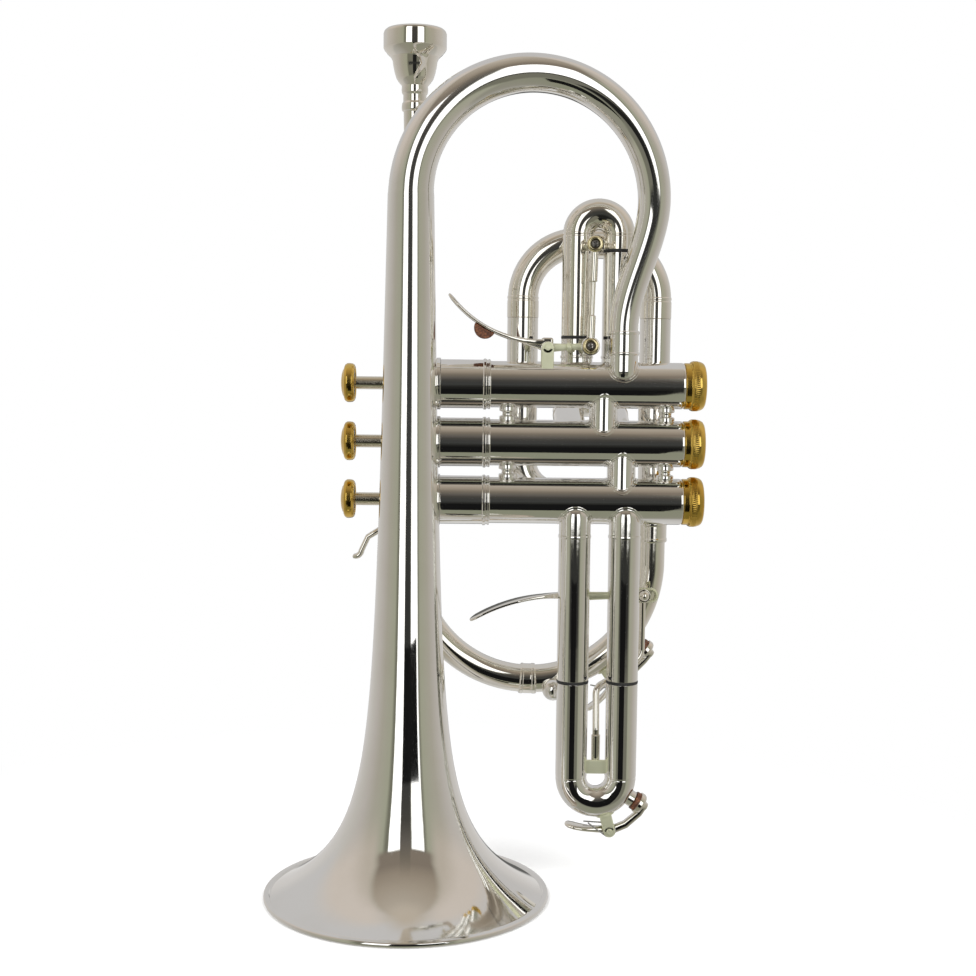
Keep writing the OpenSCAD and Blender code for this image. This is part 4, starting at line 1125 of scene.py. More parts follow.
def main_left():
    s = Shape()
    v = AXES[2]
    path = bent(
        [(ENTRY_X, v.y + 3, v.z), (ENTRY_X, MAIN_Y, v.z), (LEFT_X, MAIN_Y, v.z), (LEFT_X, MAIN_Y, JOINT_Z)],
        [ENTRY_R, TURN_R])
    n = path.length
    tube = turn(Shape(), path, rounded([
        (0, OUTER_R), (n, OUTER_R), (n, INNER_R + GAP), (n - 62, INNER_R + GAP),
        (n - 62, BORE_R), (0, BORE_R)], 0.2), 64)
    cutter = rod(Shape(), (ENTRY_X - 40, v.y, v.z), (ENTRY_X + 40, v.y, v.z), CASING_R - 0.45, seg=96)
    return join(s, carve(tube, cutter))


def main_right():
    up = straight((RIGHT_X, MAIN_Y, 0), (RIGHT_X, MAIN_Y, 1))
    loop = rounded([(152.1, 6.4), (180, 6.4), (180.5, 6.8), (181, OUTER_R), (JOINT_Z, OUTER_R),
                    (JOINT_Z, INNER_R + GAP), (182, INNER_R + GAP), (182, BORE_R), (152.1, BORE_R)], 0.2)
    return turn(Shape(), up, loop, 64)


def main_slide():
    s = Shape()
    low = span("main_slide")[0].z
    path = bent([(LEFT_X, MAIN_Y, low), (LEFT_X, MAIN_Y, MAIN_TOP), (RIGHT_X, MAIN_Y, MAIN_TOP),
                 (RIGHT_X, MAIN_Y, low)], [CORNER_R, CORNER_R])
    n = path.length
    joint = JOINT_Z + 0.1 - low
    corner = MAIN_TOP - CORNER_R - low
    half = [(0, INNER_R), (joint, INNER_R), (joint, 7.0), (corner - 1.3, 7.0), (corner - 1.0, 6.82),
            (corner - 0.5, 6.82), (corner - 0.2, 7.0), (corner + 0.5, 7.0), (corner + 0.8, 6.75)]
    outer = half + [(n - d, r) for d, r in half[::-1]]
    loop = rounded(outer + [(n, BORE_R), (0, BORE_R)], 0.15)
    return turn(s, path, loop, 64)


piece("main-outer-left", main_left(), SILVER, "root", "silver_plate", "main_outer_left")
piece("main-outer-right", main_right(), SILVER, "root", "silver_plate", "main_outer_right")
piece("main-slide", main_slide(), WARM, "main_slide", "silver_plate", "main_slide")


# ---- First slide and its trigger ----

RINGS_LOW, RINGS_HIGH = span("stop_rings")
FIRST = [span("first_outer_tubes")[0].x + OUTER_R, span("first_outer_tubes")[1].x - OUTER_R]
FIRST_Y = 36.2
FIRST_BOW_Z = span("first_slide")[1].z - (FIRST[1] - FIRST[0]) / 2 - OUTER_R + 0.1
FIRST_HIGH = span("first_outer_tubes")[1].z
FIRST_LOW = FIRST_HIGH - 37.4
FIRST_FERRULE = FIRST_HIGH + RING_T + 0.1


def first_outer():
    s = Shape()
    for x, end in zip(FIRST, (FIRST_LOW, FIRST_HIGH)):
        stub(s, x, FIRST_Y, AXES[0], end, OUTER_R, INNER_R + GAP, open_to=9)
        up = straight((x, FIRST_Y, 0), (x, FIRST_Y, 1))
        z = AXES[0].z + 11.5
        turn(s, up, rounded([(z, 6.7), (z, 7.1), (z + 0.6, 7.2), (z + 1.2, 7.1), (z + 1.2, 6.7)], 0.2), 64)
    return s


def first_slide():
    s = Shape()
    low = 227.0
    top = FIRST_BOW_Z + (FIRST[1] - FIRST[0]) / 2
    r = (FIRST[1] - FIRST[0]) / 2
    path = bent([(FIRST[0], FIRST_Y, low), (FIRST[0], FIRST_Y, top), (FIRST[1], FIRST_Y, top),
                 (FIRST[1], FIRST_Y, low)], [r - 0.001, r - 0.001])
    n = path.length
    bow = FIRST_BOW_Z - low
    left = FIRST_LOW + RING_T + 0.05 - low
    right = FIRST_FERRULE - low
    outer = [(0, INNER_R), (left, INNER_R), (left, OUTER_R), (bow - 0.9, OUTER_R), (bow - 0.6, 6.72),
             (bow - 0.2, 6.72), (bow + 0.1, OUTER_R), (bow + 0.5, OUTER_R), (bow + 0.7, 6.75)]
    tail = [(0, INNER_R), (right, INNER_R), (right, OUTER_R), (bow - 0.9, OUTER_R), (bow - 0.6, 6.72),
            (bow - 0.2, 6.72), (bow + 0.1, OUTER_R), (bow + 0.5, OUTER_R), (bow + 0.7, 6.75)]
    loop = rounded(outer + [(n - d, r2) for d, r2 in tail[::-1]] + [(n, BORE_R), (0, BORE_R)], 0.12)
    turn(s, path, loop, 64)
    return s


TRIGGER = JOINT_AT["first_trigger_turn"]
LEVER_END = Vector((TRIGGER.x + 18.3, TRIGGER.y, TRIGGER.z + 0.9))
LINK_TOP = Vector((LEVER_END.x + 1.2, TRIGGER.y, LEVER_END.z + 43.2))
BLADE = curve3((15.6, TRIGGER.y, 255.1), (30.7, TRIGGER.y, 241.6), (58, TRIGGER.y, 234.9), 60, side=Y)
BLADE_T = 0.85


def ring_head(shape, at, y_front, y_back, r=3.4, hole=2.1):
    """A ring with a screw in it, seen from the front."""
    line = straight((at.x, y_front, at.z), (at.x, y_back, at.z))
    n = y_back - y_front
    turn(shape, line, rounded([(0, hole), (0.1, r - 0.6), (0.6, r), (n, r), (n, hole)], 0.35), 48)


def screw(shape, at, y_front, r=2.05):
    """A screw head with a cross slot, facing the front."""
    head = Shape()
    line = straight((at.x, y_front, at.z), (at.x, y_front + 1, at.z))
    prof = [(0, 0), (0.1, r * 0.4), (0.45, r - 0.35), (0.8, r), (1.6, r), (1.6, 0)]
    turn(head, line, rounded(prof, 0.2, closed=False), 40, closed=False)
    cuts = []
    for angle in (35, 125):
        q = Quaternion(Y, math.radians(angle))
        cuts.append(block(Shape(), Vector((at.x - 1.4, y_front - 1, at.z - 0.3)),
                          Vector((at.x + 1.4, y_front + 0.75, at.z + 0.3)), 0.02, q, Vector(at)))
    join(shape, carve(head, *cuts))


def first_bridge():
    s = Shape()
    z = LINK_TOP.z
    block(s, (FIRST[0] + 2, FIRST_Y - 1.3, FIRST_FERRULE + 0.1), (FIRST[1] - 2, FIRST_Y + 1.3, FIRST_FERRULE + 4.4), 0.5)
    bar(s, straight((LINK_TOP.x, FIRST_Y, z), (LINK_TOP.x, TRIGGER.y + 1.4, z)), 2.0)
    return s


def first_link():
    s = Shape()
    y = TRIGGER.y - 0.9
    low = Vector((LEVER_END.x, y, LEVER_END.z))
    high = Vector((LINK_TOP.x, y, LINK_TOP.z))
    d = (high - low)
    n = d.length
    line = rounded([(2.6, 0), (2.6, 1.5), (3.2, 1.75), (n * 0.3, 1.75), (n * 0.3 + 0.3, 1.15),
                    (n * 0.64 - 0.3, 1.15), (n * 0.64, 1.75), (n - 2.8, 1.75), (n - 2.2, 1.5),
                    (n - 2.2, 0)], 0.2, closed=False)
    turn(s, straight(low, high), line, 40, closed=False)
    ring = straight((low.x, y - 1.6, low.z), (low.x, y + 1.6, low.z))
    turn(s, ring, rounded([(0, 2.76), (0, 4.05), (3.2, 4.05), (3.2, 2.76)], 0.4), 48)
    ring = straight((high.x, y - 1.5, high.z), (high.x, TRIGGER.y + 2, high.z))
    turn(s, ring, rounded([(0, 1.0), (0, 3.3), (4.4, 3.3), (4.4, 1.0)], 0.4), 48)
    return s


def first_lever():
    s = Shape()
    y, p, e = TRIGGER.y, TRIGGER, LEVER_END
    n = BLADE.length
    loft(s, BLADE, [(0, 0.5, 0.3), (0.35, 1.9, 0.55), (1.2, 3.1, 0.7), (2.8, 4.0, BLADE_T), (6, 4.5, BLADE_T),
                    (n * 0.45, 4.5, BLADE_T), (n * 0.66, 3.8, 1.0), (n * 0.8, 2.9, 1.15),
                    (n * 0.9, 2.5, 1.3), (n, 2.3, 1.5)], 3.2)
    web = curve3((42.5, y, 236.6), (50, y, 234.7), (p.x - 1.8, y, 233.4), 16, side=Y)
    m = web.length
    loft(s, web, [(0, 0.5, 0.4), (m * 0.3, 1.1, 0.9), (m * 0.65, 1.5, 1.5), (m, 1.9, 2.2)], 3.0)
    block(s, (p.x - 2.6, y - 2.3, p.z), (p.x + 2.4, y + 2.3, p.z + 4.4), 1.0)
    turn(s, straight((p.x, y - 2.4, p.z), (p.x, y + 2.4, p.z)),
         rounded([(0, 1.25), (0, 2.9), (4.8, 2.9), (4.8, 1.25)], 0.3), 48)
    rod(s, (e.x, y - 4.0, e.z), (e.x, y + 1, e.z), 1.2)
    return s


def first_arm():
    """The arm from the trigger's pivot to its end screw, with a collar on the way."""
    s = Shape()
    y, p, e = TRIGGER.y + 1.6, TRIGGER, LEVER_END
    arm = straight((p.x + 1, y, p.z + 0.1), (e.x - 1, y, e.z), side=Y)
    n = arm.length
    loft(s, arm, [(0, 0.9, 1.9), (n * 0.3, 0.8, 1.6), (n * 0.5, 0.75, 1.25), (n * 0.8, 0.75, 1.5),
                  (n, 0.75, 1.9)], 2.6)
    bar(s, straight((p.x + 8.2, y, p.z + 0.3), (p.x + 10.4, y, p.z + 0.4)), 1.9, rim=0.6)
    rod(s, (e.x, y - 0.75, e.z), (e.x, y + 0.75, e.z), 3.0)
    return s


def first_bracket():
    s = Shape()
    p, z = TRIGGER, AXES[0].z
    for y in (p.y - 4.1, p.y + 2.6):
        d = 5.0 if y < p.y else 8.6
        block(s, (p.x - 2.6, y, z + d), (p.x + 2.6, y + 1.5, p.z), 0.5)
        rod(s, (p.x, y, p.z), (p.x, y + 1.5, p.z), 2.6, rim=0.5)
    rod(s, (p.x, p.y - 4.6, p.z), (p.x, p.y + 4.6, p.z), 1.2, rim=0.2)
    return s


def first_cork():
    """A half-round cork glued under the blade."""
    at, r = Vector((31.1, TRIGGER.y, 240.8)), 4.7
    upper = []
    for i in range(121):
        p, t, u, v = BLADE.frame(BLADE.length * i / 120)
        under = p - v * (BLADE_T + 0.02)
        if (under - at).length < r:
            upper.append(under)
    first, last = (math.atan2(q.z - at.z, q.x - at.x) for q in (upper[0], upper[-1]))
    first = first - 2 * math.pi if first > 0 else first
    outline = upper + [polar(at, r, math.degrees(last + (first - last) * i / 30)) for i in range(1, 30)]
    middle = sum(outline, Vector()) / len(outline)
    verts, faces, n = [], [], len(outline)
    for y, k in ((-3.8, 0.9), (-3.7, 0.95), (-3.4, 0.985), (-3.1, 1), (3.1, 1), (3.4, 0.985), (3.7, 0.95), (3.8, 0.9)):
        verts += [list(middle + (q - middle) * k + Y * y) for q in outline]
    for i in range(7):
        for j in range(n):
            a, b = i * n + j, i * n + (j + 1) % n
            faces.append((a, b, b + n, a + n))
    faces += [tuple(range(n))[::-1], tuple(range(7 * n, 8 * n))]
    return Shape().add(verts, faces)


piece("first-outer-tubes", first_outer(), SILVER, "root", "silver_plate", "first_outer_tubes")
piece("first-slide", join(first_slide(), first_bridge()), WARM, "first_slide", "silver_plate", "first_slide")
piece("first-slide-link", first_link(), WARM, "first_slide", "silver_plate", "first_slide_link")
piece("first-trigger-lever", first_lever(), WARM, "first_trigger", "silver_plate", "first_trigger_lever")
piece("first-trigger-arm", first_arm(), SATIN, "first_trigger", "silver_plate")
piece("first-trigger-bracket", first_bracket(), SATIN, "root", "silver_plate", "first_trigger_bracket")
piece("first-trigger-cork", first_cork(), CORK, "first_trigger", "cork", "first_trigger_cork")

rings = Shape()
ring_head(rings, LEVER_END, TRIGGER.y - 4.6, TRIGGER.y - 2.7)
piece("trigger-ring", rings, PALE_GOLD, "first_trigger", "gold_plate")
heads = Shape()
screw(heads, LEVER_END, TRIGGER.y - 4.7)
piece("trigger-screw", heads, DARK_STEEL, "first_trigger", "spring_steel")
rings = Shape()
ring_head(rings, LINK_TOP, TRIGGER.y - 4.2, TRIGGER.y - 2.4)
piece("link-ring", rings, PALE_GOLD, "first_slide", "gold_plate")
heads = Shape()
screw(heads, LINK_TOP, TRIGGER.y - 4.3)
piece("link-screw", heads, DARK_STEEL, "first_slide", "spring_steel")


# ---- Second slide ----

SECOND = [span("second_slide")[0].x + OUTER_R, span("second_slide")[1].x - OUTER_R]
TILT = math.radians(22)
OUT = Vector((0, math.cos(TILT), math.sin(TILT)))


def second_at(x, d):
    return Vector((x, AXES[1].y, AXES[1].z)) + OUT * d


def second_outer():
    s = Shape()
    for x in SECOND:
        path = straight(second_at(x, 0), second_at(x, 1))
        tube = turn(Shape(), path, rounded([
            (4, 0), (4, OUTER_R), (28.6, OUTER_R), (28.8, 7.1), (30, 7.1), (30, INNER_R + GAP),
            (15, INNER_R + GAP), (15, 0)], 0.2, closed=False), 64, closed=False)
        v = AXES[1]
        cutter = rod(Shape(), (x - 30, v.y, v.z), (x + 30, v.y, v.z), CASING_R - 0.45, seg=96)
        join(s, carve(tube, cutter))
    return s


def second_slide():
    s = Shape()
    r = (SECOND[1] - SECOND[0]) / 2
    mid = (SECOND[1] + SECOND[0]) / 2
    path = bent([second_at(SECOND[0], 16), second_at(SECOND[0], 35 + r), second_at(SECOND[1], 35 + r),
                 second_at(SECOND[1], 16)], [r - 0.001, r - 0.001])
    n = path.length
    half = [(0, INNER_R), (14.1, INNER_R), (14.1, OUTER_R), (18.2, OUTER_R), (18.5, 6.72),
            (18.9, 6.72), (19.2, OUTER_R), (19.7, 6.75)]
    loop = rounded(half + [(n - d, q) for d, q in half[::-1]] + [(n, BORE_R), (0, BORE_R)], 0.12)
    turn(s, path, loop, 64)
    knob = straight(second_at(mid, 0), second_at(mid, 1))
    b = 35 + r + 5.8
    line = rounded([(b, 0), (b, 2.2), (b + 1.6, 1.5), (b + 3.2, 1.5), (b + 3.6, 2.8), (b + 4.2, 3.0),
                    (b + 4.8, 2.8), (b + 5.0, 0)], 0.4, closed=False)
    turn(s, knob, line, 40, closed=False)
    return s


piece("second-outer-tubes", second_outer(), SILVER, "root", "silver_plate", "second_outer_tubes")
piece("second-slide", second_slide(), WARM, "second_slide", "silver_plate", "second_slide")


# ---- Third slide, its lever and its water key ----

THIRD = [span("third_slide")[0].x + OUTER_R, span("third_slide")[1].x - OUTER_R]
THIRD_Y = 21.8
THIRD_END = span("third_outer_tubes")[0].z
THIRD_R = (THIRD[1] - THIRD[0]) / 2
THIRD_BOW_Z = THIRD_END - 43.2
THIRD_CENTRE = Vector(((THIRD[0] + THIRD[1]) / 2, THIRD_Y, THIRD_BOW_Z))
THIRD_PIN = JOINT_AT["third_water_key_turn"]
THIRD_PIN_A = math.degrees(math.atan2(THIRD_PIN.z - THIRD_CENTRE.z, THIRD_PIN.x - THIRD_CENTRE.x))
THIRD_NIPPLE_A, THIRD_NIPPLE_TO = -31.0, 19.6


def third_outer():
    s = Shape()
    for x in THIRD:
        stub(s, x, THIRD_Y, AXES[2], THIRD_END, OUTER_R, INNER_R + GAP, open_to=8, lift=7.3)
        up = straight((x, THIRD_Y, 0), (x, THIRD_Y, 1))
        z = 150.8
        turn(s, up, rounded([(z, 6.7), (z, 7.0), (z + 0.7, 7.1), (z + 1.4, 7.0), (z + 1.4, 6.7)], 0.2), 64)
    return s


def third_slide():
    s = Shape()
    c = THIRD_CENTRE
    path = bent([(THIRD[0], THIRD_Y, 148), (THIRD[0], THIRD_Y, THIRD_BOW_Z - THIRD_R),
                 (THIRD[1], THIRD_Y, THIRD_BOW_Z - THIRD_R), (THIRD[1], THIRD_Y, 148)],
                [THIRD_R - 0.001, THIRD_R - 0.001])
    n = path.length
    sleeve = 148 - (THIRD_END - RING_T - 0.05)
    bow = 148 - THIRD_BOW_Z
    half = [(0, INNER_R), (sleeve, INNER_R), (sleeve, OUTER_R), (bow - 0.6, OUTER_R), (bow - 0.3, 6.72),
            (bow + 0.1, 6.72), (bow + 0.4, 6.82), (bow + 0.9, 6.75)]
    loop = rounded(half + [(n - d, q) for d, q in half[::-1]] + [(n, BORE_R), (0, BORE_R)], 0.12)
    turn(s, path, loop, 64)
    nipple(s, c, THIRD_NIPPLE_A, THIRD_R + 4.6, THIRD_NIPPLE_TO, 3.5)
    return s


THIRD_PIN_R = (Vector((THIRD_PIN.x, 0, THIRD_PIN.z)) - Vector((THIRD_CENTRE.x, 0, THIRD_CENTRE.z))).length
LEVER = JOINT_AT["third_trigger_turn"]
SLOT_AT = Vector((LEVER.x + 31.7, LEVER.y, LEVER.z + 0.7))
LINK_Y = 38.2


def third_link():
    s = Shape()
    e = SLOT_AT
    x = THIRD_CENTRE.x
    path = bent([(e.x, LINK_Y, e.z), (e.x, LINK_Y, 96), (x + 8, 33.8, 87), (x, 27.5, 84), (x, 24.4, 66),
                 (x, 24.4, 62)], [7, 6, 5, 9])
    bar(s, path, 1.5)
    up = straight((x, 24.4, 0), (x, 24.4, 1))
    line = rounded([(50, 0), (50, 1.6), (50.5, 1.95), (51.4, 1.95), (51.7, 1.6), (52.2, 1.6),
                    (52.5, 1.95), (63.4, 1.95), (63.9, 1.5), (63.9, 0)], 0.2, closed=False)
    turn(s, up, line, 40, closed=False)
    rod(s, (x, THIRD_Y + 0.8, 50), (x, 25.6, 50), 1.6)
    rod(s, (e.x, e.y - 2.6, e.z), (e.x, LINK_Y, e.z), 1.3)
    rod(s, (e.x, LINK_Y - 2.2, e.z), (e.x, LINK_Y + 2, e.z), 2.6, rim=0.6)
    rod(s, (e.x, e.y - 2.6, e.z), (e.x, e.y - 1.75, e.z), 3.0, rim=0.4)
    ball(s, (e.x, e.y - 2.6, e.z), 2.3, seg=40)
    return s


def third_bracket():
    s = Shape()
    p = LEVER
    line = straight((p.x, THIRD_Y + OUTER_R - 0.3, p.z), (p.x, p.y - 1.6, p.z))
    n = line.length
    turn(s, line, rounded([(0, 0), (0, 4.2), (0.8, 4.0), (1.4, 3.2), (n, 3.2), (n, 0)], 0.3, closed=False), 40,
         closed=False)
    rod(s, (p.x, p.y - 2, p.z), (p.x, p.y + 2.2, p.z), 1.4)
    rod(s, (p.x, p.y + 1.6, p.z), (p.x, p.y + 2.6, p.z), 2.8)
    return s


def third_lever():
    s = Shape()
    p, y = LEVER, LEVER.y
    path = curve3((25.9, y, 112.4), (44, y, 120.6), (69, y, 123.6), 40, side=Y)
    n = path.length
    loft(s, path, [(0, 0.5, 0.3), (0.35, 2.0, 0.5), (1.2, 3.4, 0.6), (2.8, 4.5, 0.7), (6, 5.0, 0.72),
                   (n * 0.5, 5.0, 0.75), (n * 0.75, 3.6, 0.85), (n * 0.88, 1.9, 1.3), (n * 0.96, 1.5, 1.6)], 4.0)
    turn(s, straight((p.x, y - 1.5, p.z), (p.x, y + 1.5, p.z)),
         rounded([(0, 1.45), (0, 3.4), (3, 3.4), (3, 1.45)], 0.3), 48)
    block(s, (p.x - 6, y - 1.5, p.z - 1.6), (p.x - 2.6, y + 1.5, p.z + 1.6), 0.4)
    return s


def third_arm():
    """The lever's arm to the right, with a slotted end for the link's pin."""
    s = Shape()
    p, e, y = LEVER, SLOT_AT, LEVER.y
    arm = straight((p.x + 2.6, y, p.z), (e.x - 4.6, y, e.z), side=Y)
    n = arm.length
    loft(s, arm, [(0, 1.5, 2.0), (n * 0.3, 1.4, 1.75), (n * 0.7, 1.4, 1.5), (n, 1.4, 1.9)], 2.8)
    ends = []
    for i in range(48):
        a = 2 * math.pi * i / 48
        side = e.x - 2.4 if math.cos(a) < 0 else e.x + 3.2
        inner = e.x - 0.3 if math.cos(a) < 0 else e.x + 2.7
        ends.append((Vector((side + 3.3 * math.cos(a), 0, e.z + 3.3 * math.sin(a))),
                     Vector((inner + 2.1 * math.cos(a), 0, e.z + 2.1 * math.sin(a)))))
    verts, faces = [], []
    for big, small in ends:
        mid = (big + small) / 2
        for q, yy in ((big, -0.8), (big, 0.8), (mid, 1.4), (small, 0.9), (small, -0.9), (mid, -1.4)):
            verts.append([q.x, y + yy, q.z])
    for i in range(48):
        a, b = i * 6, ((i + 1) % 48) * 6
        for k in range(6):
            faces.append((a + k, a + (k + 1) % 6, b + (k + 1) % 6, b + k))
    s.add(verts, faces)
    return s


piece("third-outer-tubes", third_outer(), SILVER, "root", "silver_plate", "third_outer_tubes")
piece("third-slide", third_slide(), SILVER, "third_slide", "silver_plate", "third_slide")
piece("third-key-saddle", saddle(Shape(), THIRD_CENTRE, THIRD_PIN_A, THIRD_PIN_R, THIRD_R + 5.6),
      SATIN, "third_slide", "silver_plate")
piece("third-slide-plate", block(Shape(), (THIRD[0] + 4.5, THIRD_Y - 1, 47),
                                 (THIRD[1] - 4.5, THIRD_Y + 0.6, 53), 0.4), SATIN, "third_slide",
      "silver_plate")
piece("third-slide-link", third_link(), WARM, "third_slide", "silver_plate", "third_slide_link")
piece("third-lever-bracket", third_bracket(), WARM, "root", "silver_plate", "third_lever_bracket")
piece("third-trigger-lever", third_lever(), WARM, "third_trigger", "silver_plate", "third_trigger_lever")
piece("third-trigger-arm", third_arm(), SATIN, "third_trigger", "silver_plate", sharp=60)
THIRD_KEY_TIP = THIRD_CENTRE + Vector((-13.2, 0, -20.9))
piece("third-water-key", water_key(THIRD_CENTRE, THIRD_PIN, THIRD_NIPPLE_TO, THIRD_NIPPLE_A,
                                   THIRD_PIN_R + 0.8, THIRD_KEY_TIP, 5, 4.65),
      WARM, "third_water_key", "silver_plate", "third_water_key")
piece("third-key-spring", key_spring(THIRD_CENTRE, THIRD_PIN, THIRD_PIN_A - 24, THIRD_R + 7.1,
                                      THIRD_KEY_TIP), STEEL, "third_water_key", "spring_steel")
piece("third-key-cork", key_cork(THIRD_CENTRE, THIRD_NIPPLE_TO, THIRD_NIPPLE_A, 4.65), CORK,
      "third_water_key", "cork", "third_key_cork")


def stop_rings():
    s = Shape()
    spots = [(FIRST[0], FIRST_Y, FIRST_LOW), (FIRST[1], FIRST_Y, FIRST_HIGH),
             (THIRD[0], THIRD_Y, THIRD_END - RING_T), (THIRD[1], THIRD_Y, THIRD_END - RING_T)]
    for x, y, z in spots:
        up = straight((x, y, z), (x, y, z + 1))
        pipe(s, up, OUTER_R + 0.12, INNER_R + GAP, 0.02, RING_T - 0.02, rim=0.4)
    return s


piece("stop-rings", stop_rings(), RUBBER, "root", "rubber", "stop_rings")

# CAD nodes that stay are inside the valves or the bell's rim
for node, o in frame["nodes"].items():
    if not o.hide_render:
        o.data.materials.clear()
        o.data.materials.append(SLOT_MATERIAL[SLOT_OF[node]])
        o.data.shade_smooth()
        o.data.set_sharp_from_angle(angle=math.radians(35))


# ---- Studio ----

def studio():
    """The camera sees white. Shiny metal sees a grey-walled tent that is white behind the
    instrument, with two light panels beside the camera and a dark slit between them."""
    world = bpy.data.worlds.new("studio")
    bpy.context.scene.world = world
    world.use_nodes = True
    n = Nodes(world.node_tree)
    ray = n.add("ShaderNodeTexCoord").outputs["Generated"]
    wobble = n.add("ShaderNodeTexNoise", {"Vector": ray, "Scale": 2.6, "Detail": 2.0}).outputs["Color"]
    shift = n.add("ShaderNodeVectorMath", {0: wobble, 1: (0.5, 0.5, 0.5)}, operation="SUBTRACT").outputs[0]
    shift = n.add("ShaderNodeVectorMath", {0: shift, "Scale": 0.03}, operation="SCALE").outputs[0]
    ray = n.add("ShaderNodeVectorMath", {0: ray, 1: shift}, operation="ADD").outputs[0]
    xyz = n.add("ShaderNodeSeparateXYZ", {0: ray}).outputs
    azimuth = n.math("MULTIPLY", n.math("ARCTAN2", xyz[0], n.math("MULTIPLY", xyz[1], -1.0)), 180 / math.pi)
    flat = n.math("SQRT", n.math("ADD", n.math("MULTIPLY", xyz[0], xyz[0]), n.math("MULTIPLY", xyz[1], xyz[1])))
    height = n.math("MULTIPLY", n.math("ARCTAN2", xyz[2], flat), 180 / math.pi)
    aside = n.math("ABSOLUTE", azimuth)

    walls = n.ramp(n.math("DIVIDE", aside, 180.0), [
        (0.0, (0.17, 0.165, 0.14)), (0.20, (0.17, 0.17, 0.13)), (0.235, (0.35, 0.355, 0.275)),
        (0.40, (0.39, 0.37, 0.315)), (0.53, (0.47, 0.44, 0.41)), (0.66, (0.53, 0.51, 0.48)),
        (0.76, (0.58, 0.56, 0.54)), (0.90, (0.64, 0.62, 0.61)), (1.0, (0.84, 0.84, 0.83)),
    ])
    ceiling = n.ramp(n.math("DIVIDE", height, 90.0), [
        (0.0, (0.20, 0.17, 0.14)), (0.52, (0.22, 0.185, 0.15)), (0.60, (0.29, 0.245, 0.195)),
        (0.72, (0.36, 0.31, 0.25)), (0.86, (0.42, 0.37, 0.31)), (1.0, (0.47, 0.42, 0.36)),
    ])
    reach = n.math("MULTIPLY", n.math("MAXIMUM", n.math("SUBTRACT", height, 44.0), 0.0), 0.9)
    beside = n.step(n.math("SUBTRACT", aside, reach), 42.0, 62.0)
    top_front = n.math("MULTIPLY", n.step(height, 34.0, 39.0), n.math("SUBTRACT", 1.0, beside))
    colour = n.mix(top_front, walls, ceiling)
    warm_side = n.math("MULTIPLY", n.step(height, 8.0, 34.0), beside)
    side_tone = n.mix(n.step(aside, 62.0, 100.0), (0.48, 0.43, 0.37), (0.60, 0.54, 0.49))
    colour = n.mix(n.math("MULTIPLY", warm_side, n.step(height, 88.0, 70.0)), colour, side_tone)
    upper_back = n.math("MULTIPLY", n.step(height, 4.0, 18.0), n.step(aside, 112.0, 135.0))
    colour = n.mix(upper_back, colour, (0.55, 0.54, 0.54))
    colour = n.mix(n.step(height, 76.0, 88.0), colour, (0.50, 0.44, 0.37))
    ground = n.ramp(n.math("DIVIDE", aside, 180.0), [
        (0.0, (0.25, 0.26, 0.19)), (0.4, (0.29, 0.28, 0.235)), (0.7, (0.46, 0.45, 0.43)),
        (1.0, (0.66, 0.65, 0.64)),
    ])
    colour = n.mix(n.step(height, -32.0, -42.0), colour, ground)
    dark = n.ramp(n.math("DIVIDE", n.math("ADD", height, 30.0), 90.0), [
        (0.0, (0.013, 0.013, 0.012)), (0.24, (0.016, 0.016, 0.015)), (0.30, (0.045, 0.046, 0.044)),
        (0.42, (0.045, 0.045, 0.043)), (0.55, (0.06, 0.056, 0.05)), (0.68, (0.12, 0.108, 0.095)),
        (0.80, (0.17, 0.148, 0.12)), (1.0, (0.27, 0.23, 0.18)),
    ])
    slit = n.math("MULTIPLY", n.step(aside, 11.0, 8.6), n.math("MULTIPLY", n.step(height, 62.0, 40.0), n.step(height, -36.0, -30.0)))
    colour = n.mix(slit, colour, dark)
    low_edge = n.math("MULTIPLY", n.step(height, -6.4, -7.4), n.step(height, -13.0, -10.0))
    colour = n.mix(n.math("MULTIPLY", low_edge, n.step(aside, 38.0, 26.0)), colour, (0.03, 0.03, 0.028))
    tall = n.math("MULTIPLY", n.step(height, -6.8, -5.8), n.step(height, 37.5, 35.5))
    left = n.math("MULTIPLY", n.step(azimuth, -9.0, -10.5), n.step(azimuth, -32.0, -30.0))
    right = n.math("MULTIPLY", n.step(azimuth, 11.0, 13.0), n.step(azimuth, 36.0, 33.0))
    panel = n.math("MULTIPLY", n.math("ADD", left, right), tall)
    colour = n.mix(panel, colour, (1.5, 1.5, 1.5))
    low_back = n.math("MULTIPLY", n.step(height, 14.0, 8.0), n.step(height, -34.0, -28.0))
    back_slit = n.math("MULTIPLY", n.step(aside, 168.0, 171.0), low_back)
    colour = n.mix(back_slit, colour, (0.12, 0.12, 0.115))

    rays = n.add("ShaderNodeLightPath").outputs
    shiny = n.add("ShaderNodeBackground", {"Color": colour, "Strength": 1.0}).outputs[0]
    plain = n.add("ShaderNodeBackground", {"Color": (1, 1, 1, 1), "Strength": 1.0}).outputs[0]
    mixed = n.add("ShaderNodeMixShader", {0: rays["Is Glossy Ray"], 1: plain, 2: shiny}).outputs[0]
    n.add("ShaderNodeOutputWorld", {0: mixed})


def stage_mesh(name, corners):
    mesh = bpy.data.meshes.new(name)
    mesh.from_pydata([tuple(c) for c in corners], [], [(0, 1, 2, 3)])
    mesh.update()
    o = bpy.data.objects.new(name, mesh)
    bpy.context.scene.collection.objects.link(o)
    return o


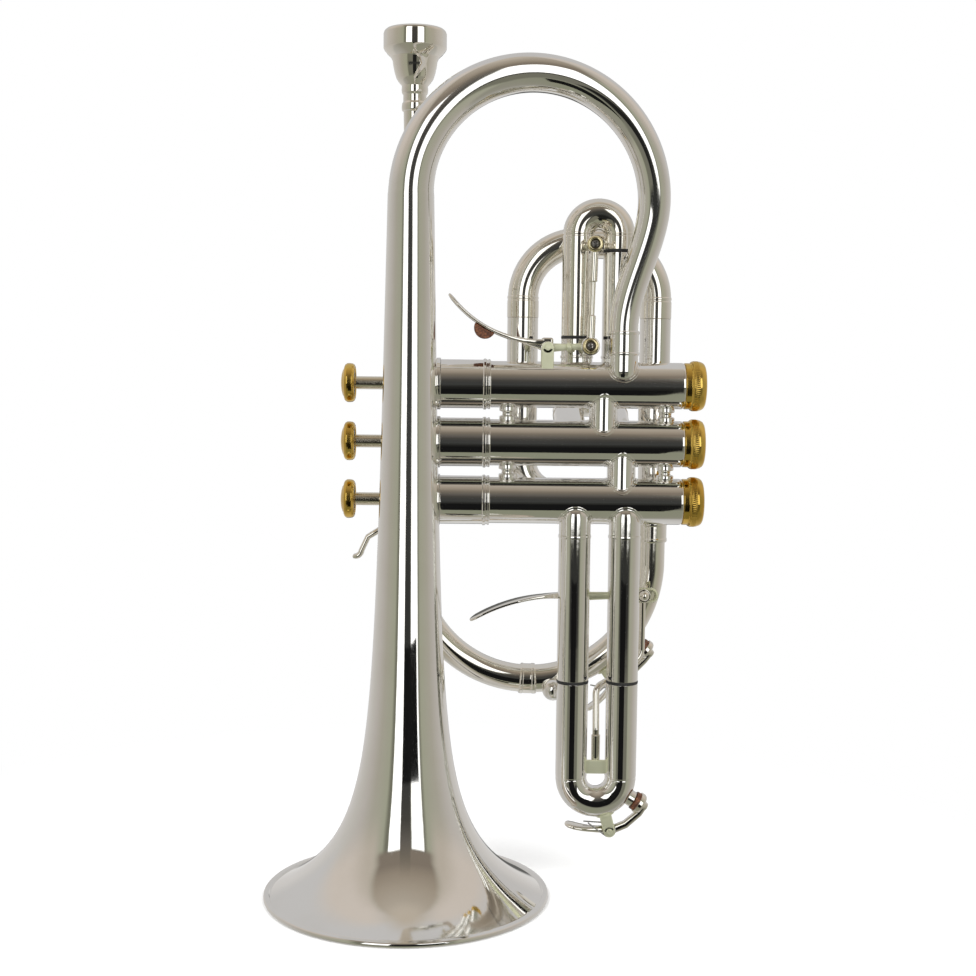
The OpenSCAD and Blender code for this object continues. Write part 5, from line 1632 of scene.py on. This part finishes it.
def floor():
    """White paper that goes over into the white behind it."""
    size = 4.0
    o = stage_mesh("floor", [(-size, -size, 0), (size, -size, 0), (size, size, 0), (-size, size, 0)])
    m, n, place, shader, out = surface("floor_paper")
    grain = n.noise(place, 300.0, 4.0, 0.6)
    n.tree.links.new(n.mix(grain, (0.93, 0.93, 0.93), (0.97, 0.97, 0.97)), shader.inputs["Base Color"])
    shader.inputs["Roughness"].default_value = 0.9
    shader.inputs["Specular IOR Level"].default_value = 0.0
    away = n.add("ShaderNodeVectorMath", {0: place}, operation="LENGTH").outputs["Value"]
    glow = n.add("ShaderNodeEmission", {"Color": (1, 1, 1, 1), "Strength": 1.0}).outputs[0]
    both = n.add("ShaderNodeMixShader", {0: n.step(away, 0.09, 0.30), 1: shader.outputs[0], 2: glow})
    n.tree.links.new(both.outputs[0], out.inputs[0])
    o.data.materials.append(m)
    o.visible_glossy = False


def painted_dark_reflection():
    """A low near-black sheet in front of the instrument that only its reflections show: a painted dark reflection on
    the metal, hidden from camera, diffuse light and shadows.
    """
    y = -0.29
    o = stage_mesh("painted_dark_reflection", [(-0.045, y, -0.15), (0.165, y, -0.15), (0.165, y, 0.086), (-0.045, y, 0.086)])
    m = bpy.data.materials.new("painted_dark_reflection")
    m.use_nodes = True
    n = Nodes(m.node_tree)
    place = n.add("ShaderNodeTexCoord").outputs["Object"]
    # Painted dark reflection: near-black emission with a slight uneven noise.
    dark_reflection_noise = n.noise(place, 60.0, 3.0, 0.6)
    tone = n.mix(dark_reflection_noise, (0.004, 0.004, 0.004), (0.012, 0.012, 0.012))
    shader = n.add("ShaderNodeEmission", {"Color": tone, "Strength": 1.0})
    n.add("ShaderNodeOutputMaterial", {0: shader.outputs[0]})
    o.data.materials.append(m)
    o.visible_camera = o.visible_diffuse = o.visible_shadow = False
    o.visible_transmission = o.visible_volume_scatter = False


def lamp(name, at, size, watts, aim):
    data = bpy.data.lights.new(name, "AREA")
    data.shape, data.size, data.energy = "DISK", size, watts
    o = bpy.data.objects.new(name, data)
    bpy.context.scene.collection.objects.link(o)
    o.location = at
    o.rotation_mode = "QUATERNION"
    o.rotation_quaternion = (Vector(aim) - Vector(at)).to_track_quat("-Z", "Y")
    o.visible_glossy = False
    o.visible_camera = False


def camera():
    """Placed so that the bell's rim, the crook and the valves fall where a camera 0.62 m
    in front of the bell would see them."""
    pitch, yaw, roll = (math.radians(a) for a in (4.81, 0.645, 0.637))
    data = bpy.data.cameras.new("camera")
    data.sensor_width = 36.0
    data.lens = 54.99
    data.clip_start, data.clip_end = 0.01, 50
    o = bpy.data.objects.new("camera", data)
    bpy.context.scene.collection.objects.link(o)
    o.location = (0.02593, -0.61878, 0.22596)
    o.rotation_mode = "QUATERNION"
    o.rotation_quaternion = Quaternion(Z, -yaw) @ Quaternion(X, math.pi / 2 - pitch) @ Quaternion(Z, roll)
    bpy.context.scene.camera = o


studio()
floor()
painted_dark_reflection()
lamp("key", (-0.9, -1.1, 1.4), 1.2, 14.0, (0.03, 0, 0.15))
lamp("fill", (1.1, -0.9, 1.2), 1.2, 10.0, (0.03, 0, 0.15))
camera()
bpy.context.scene.view_settings.view_transform = "Standard"
bpy.context.scene.view_settings.look = "None"
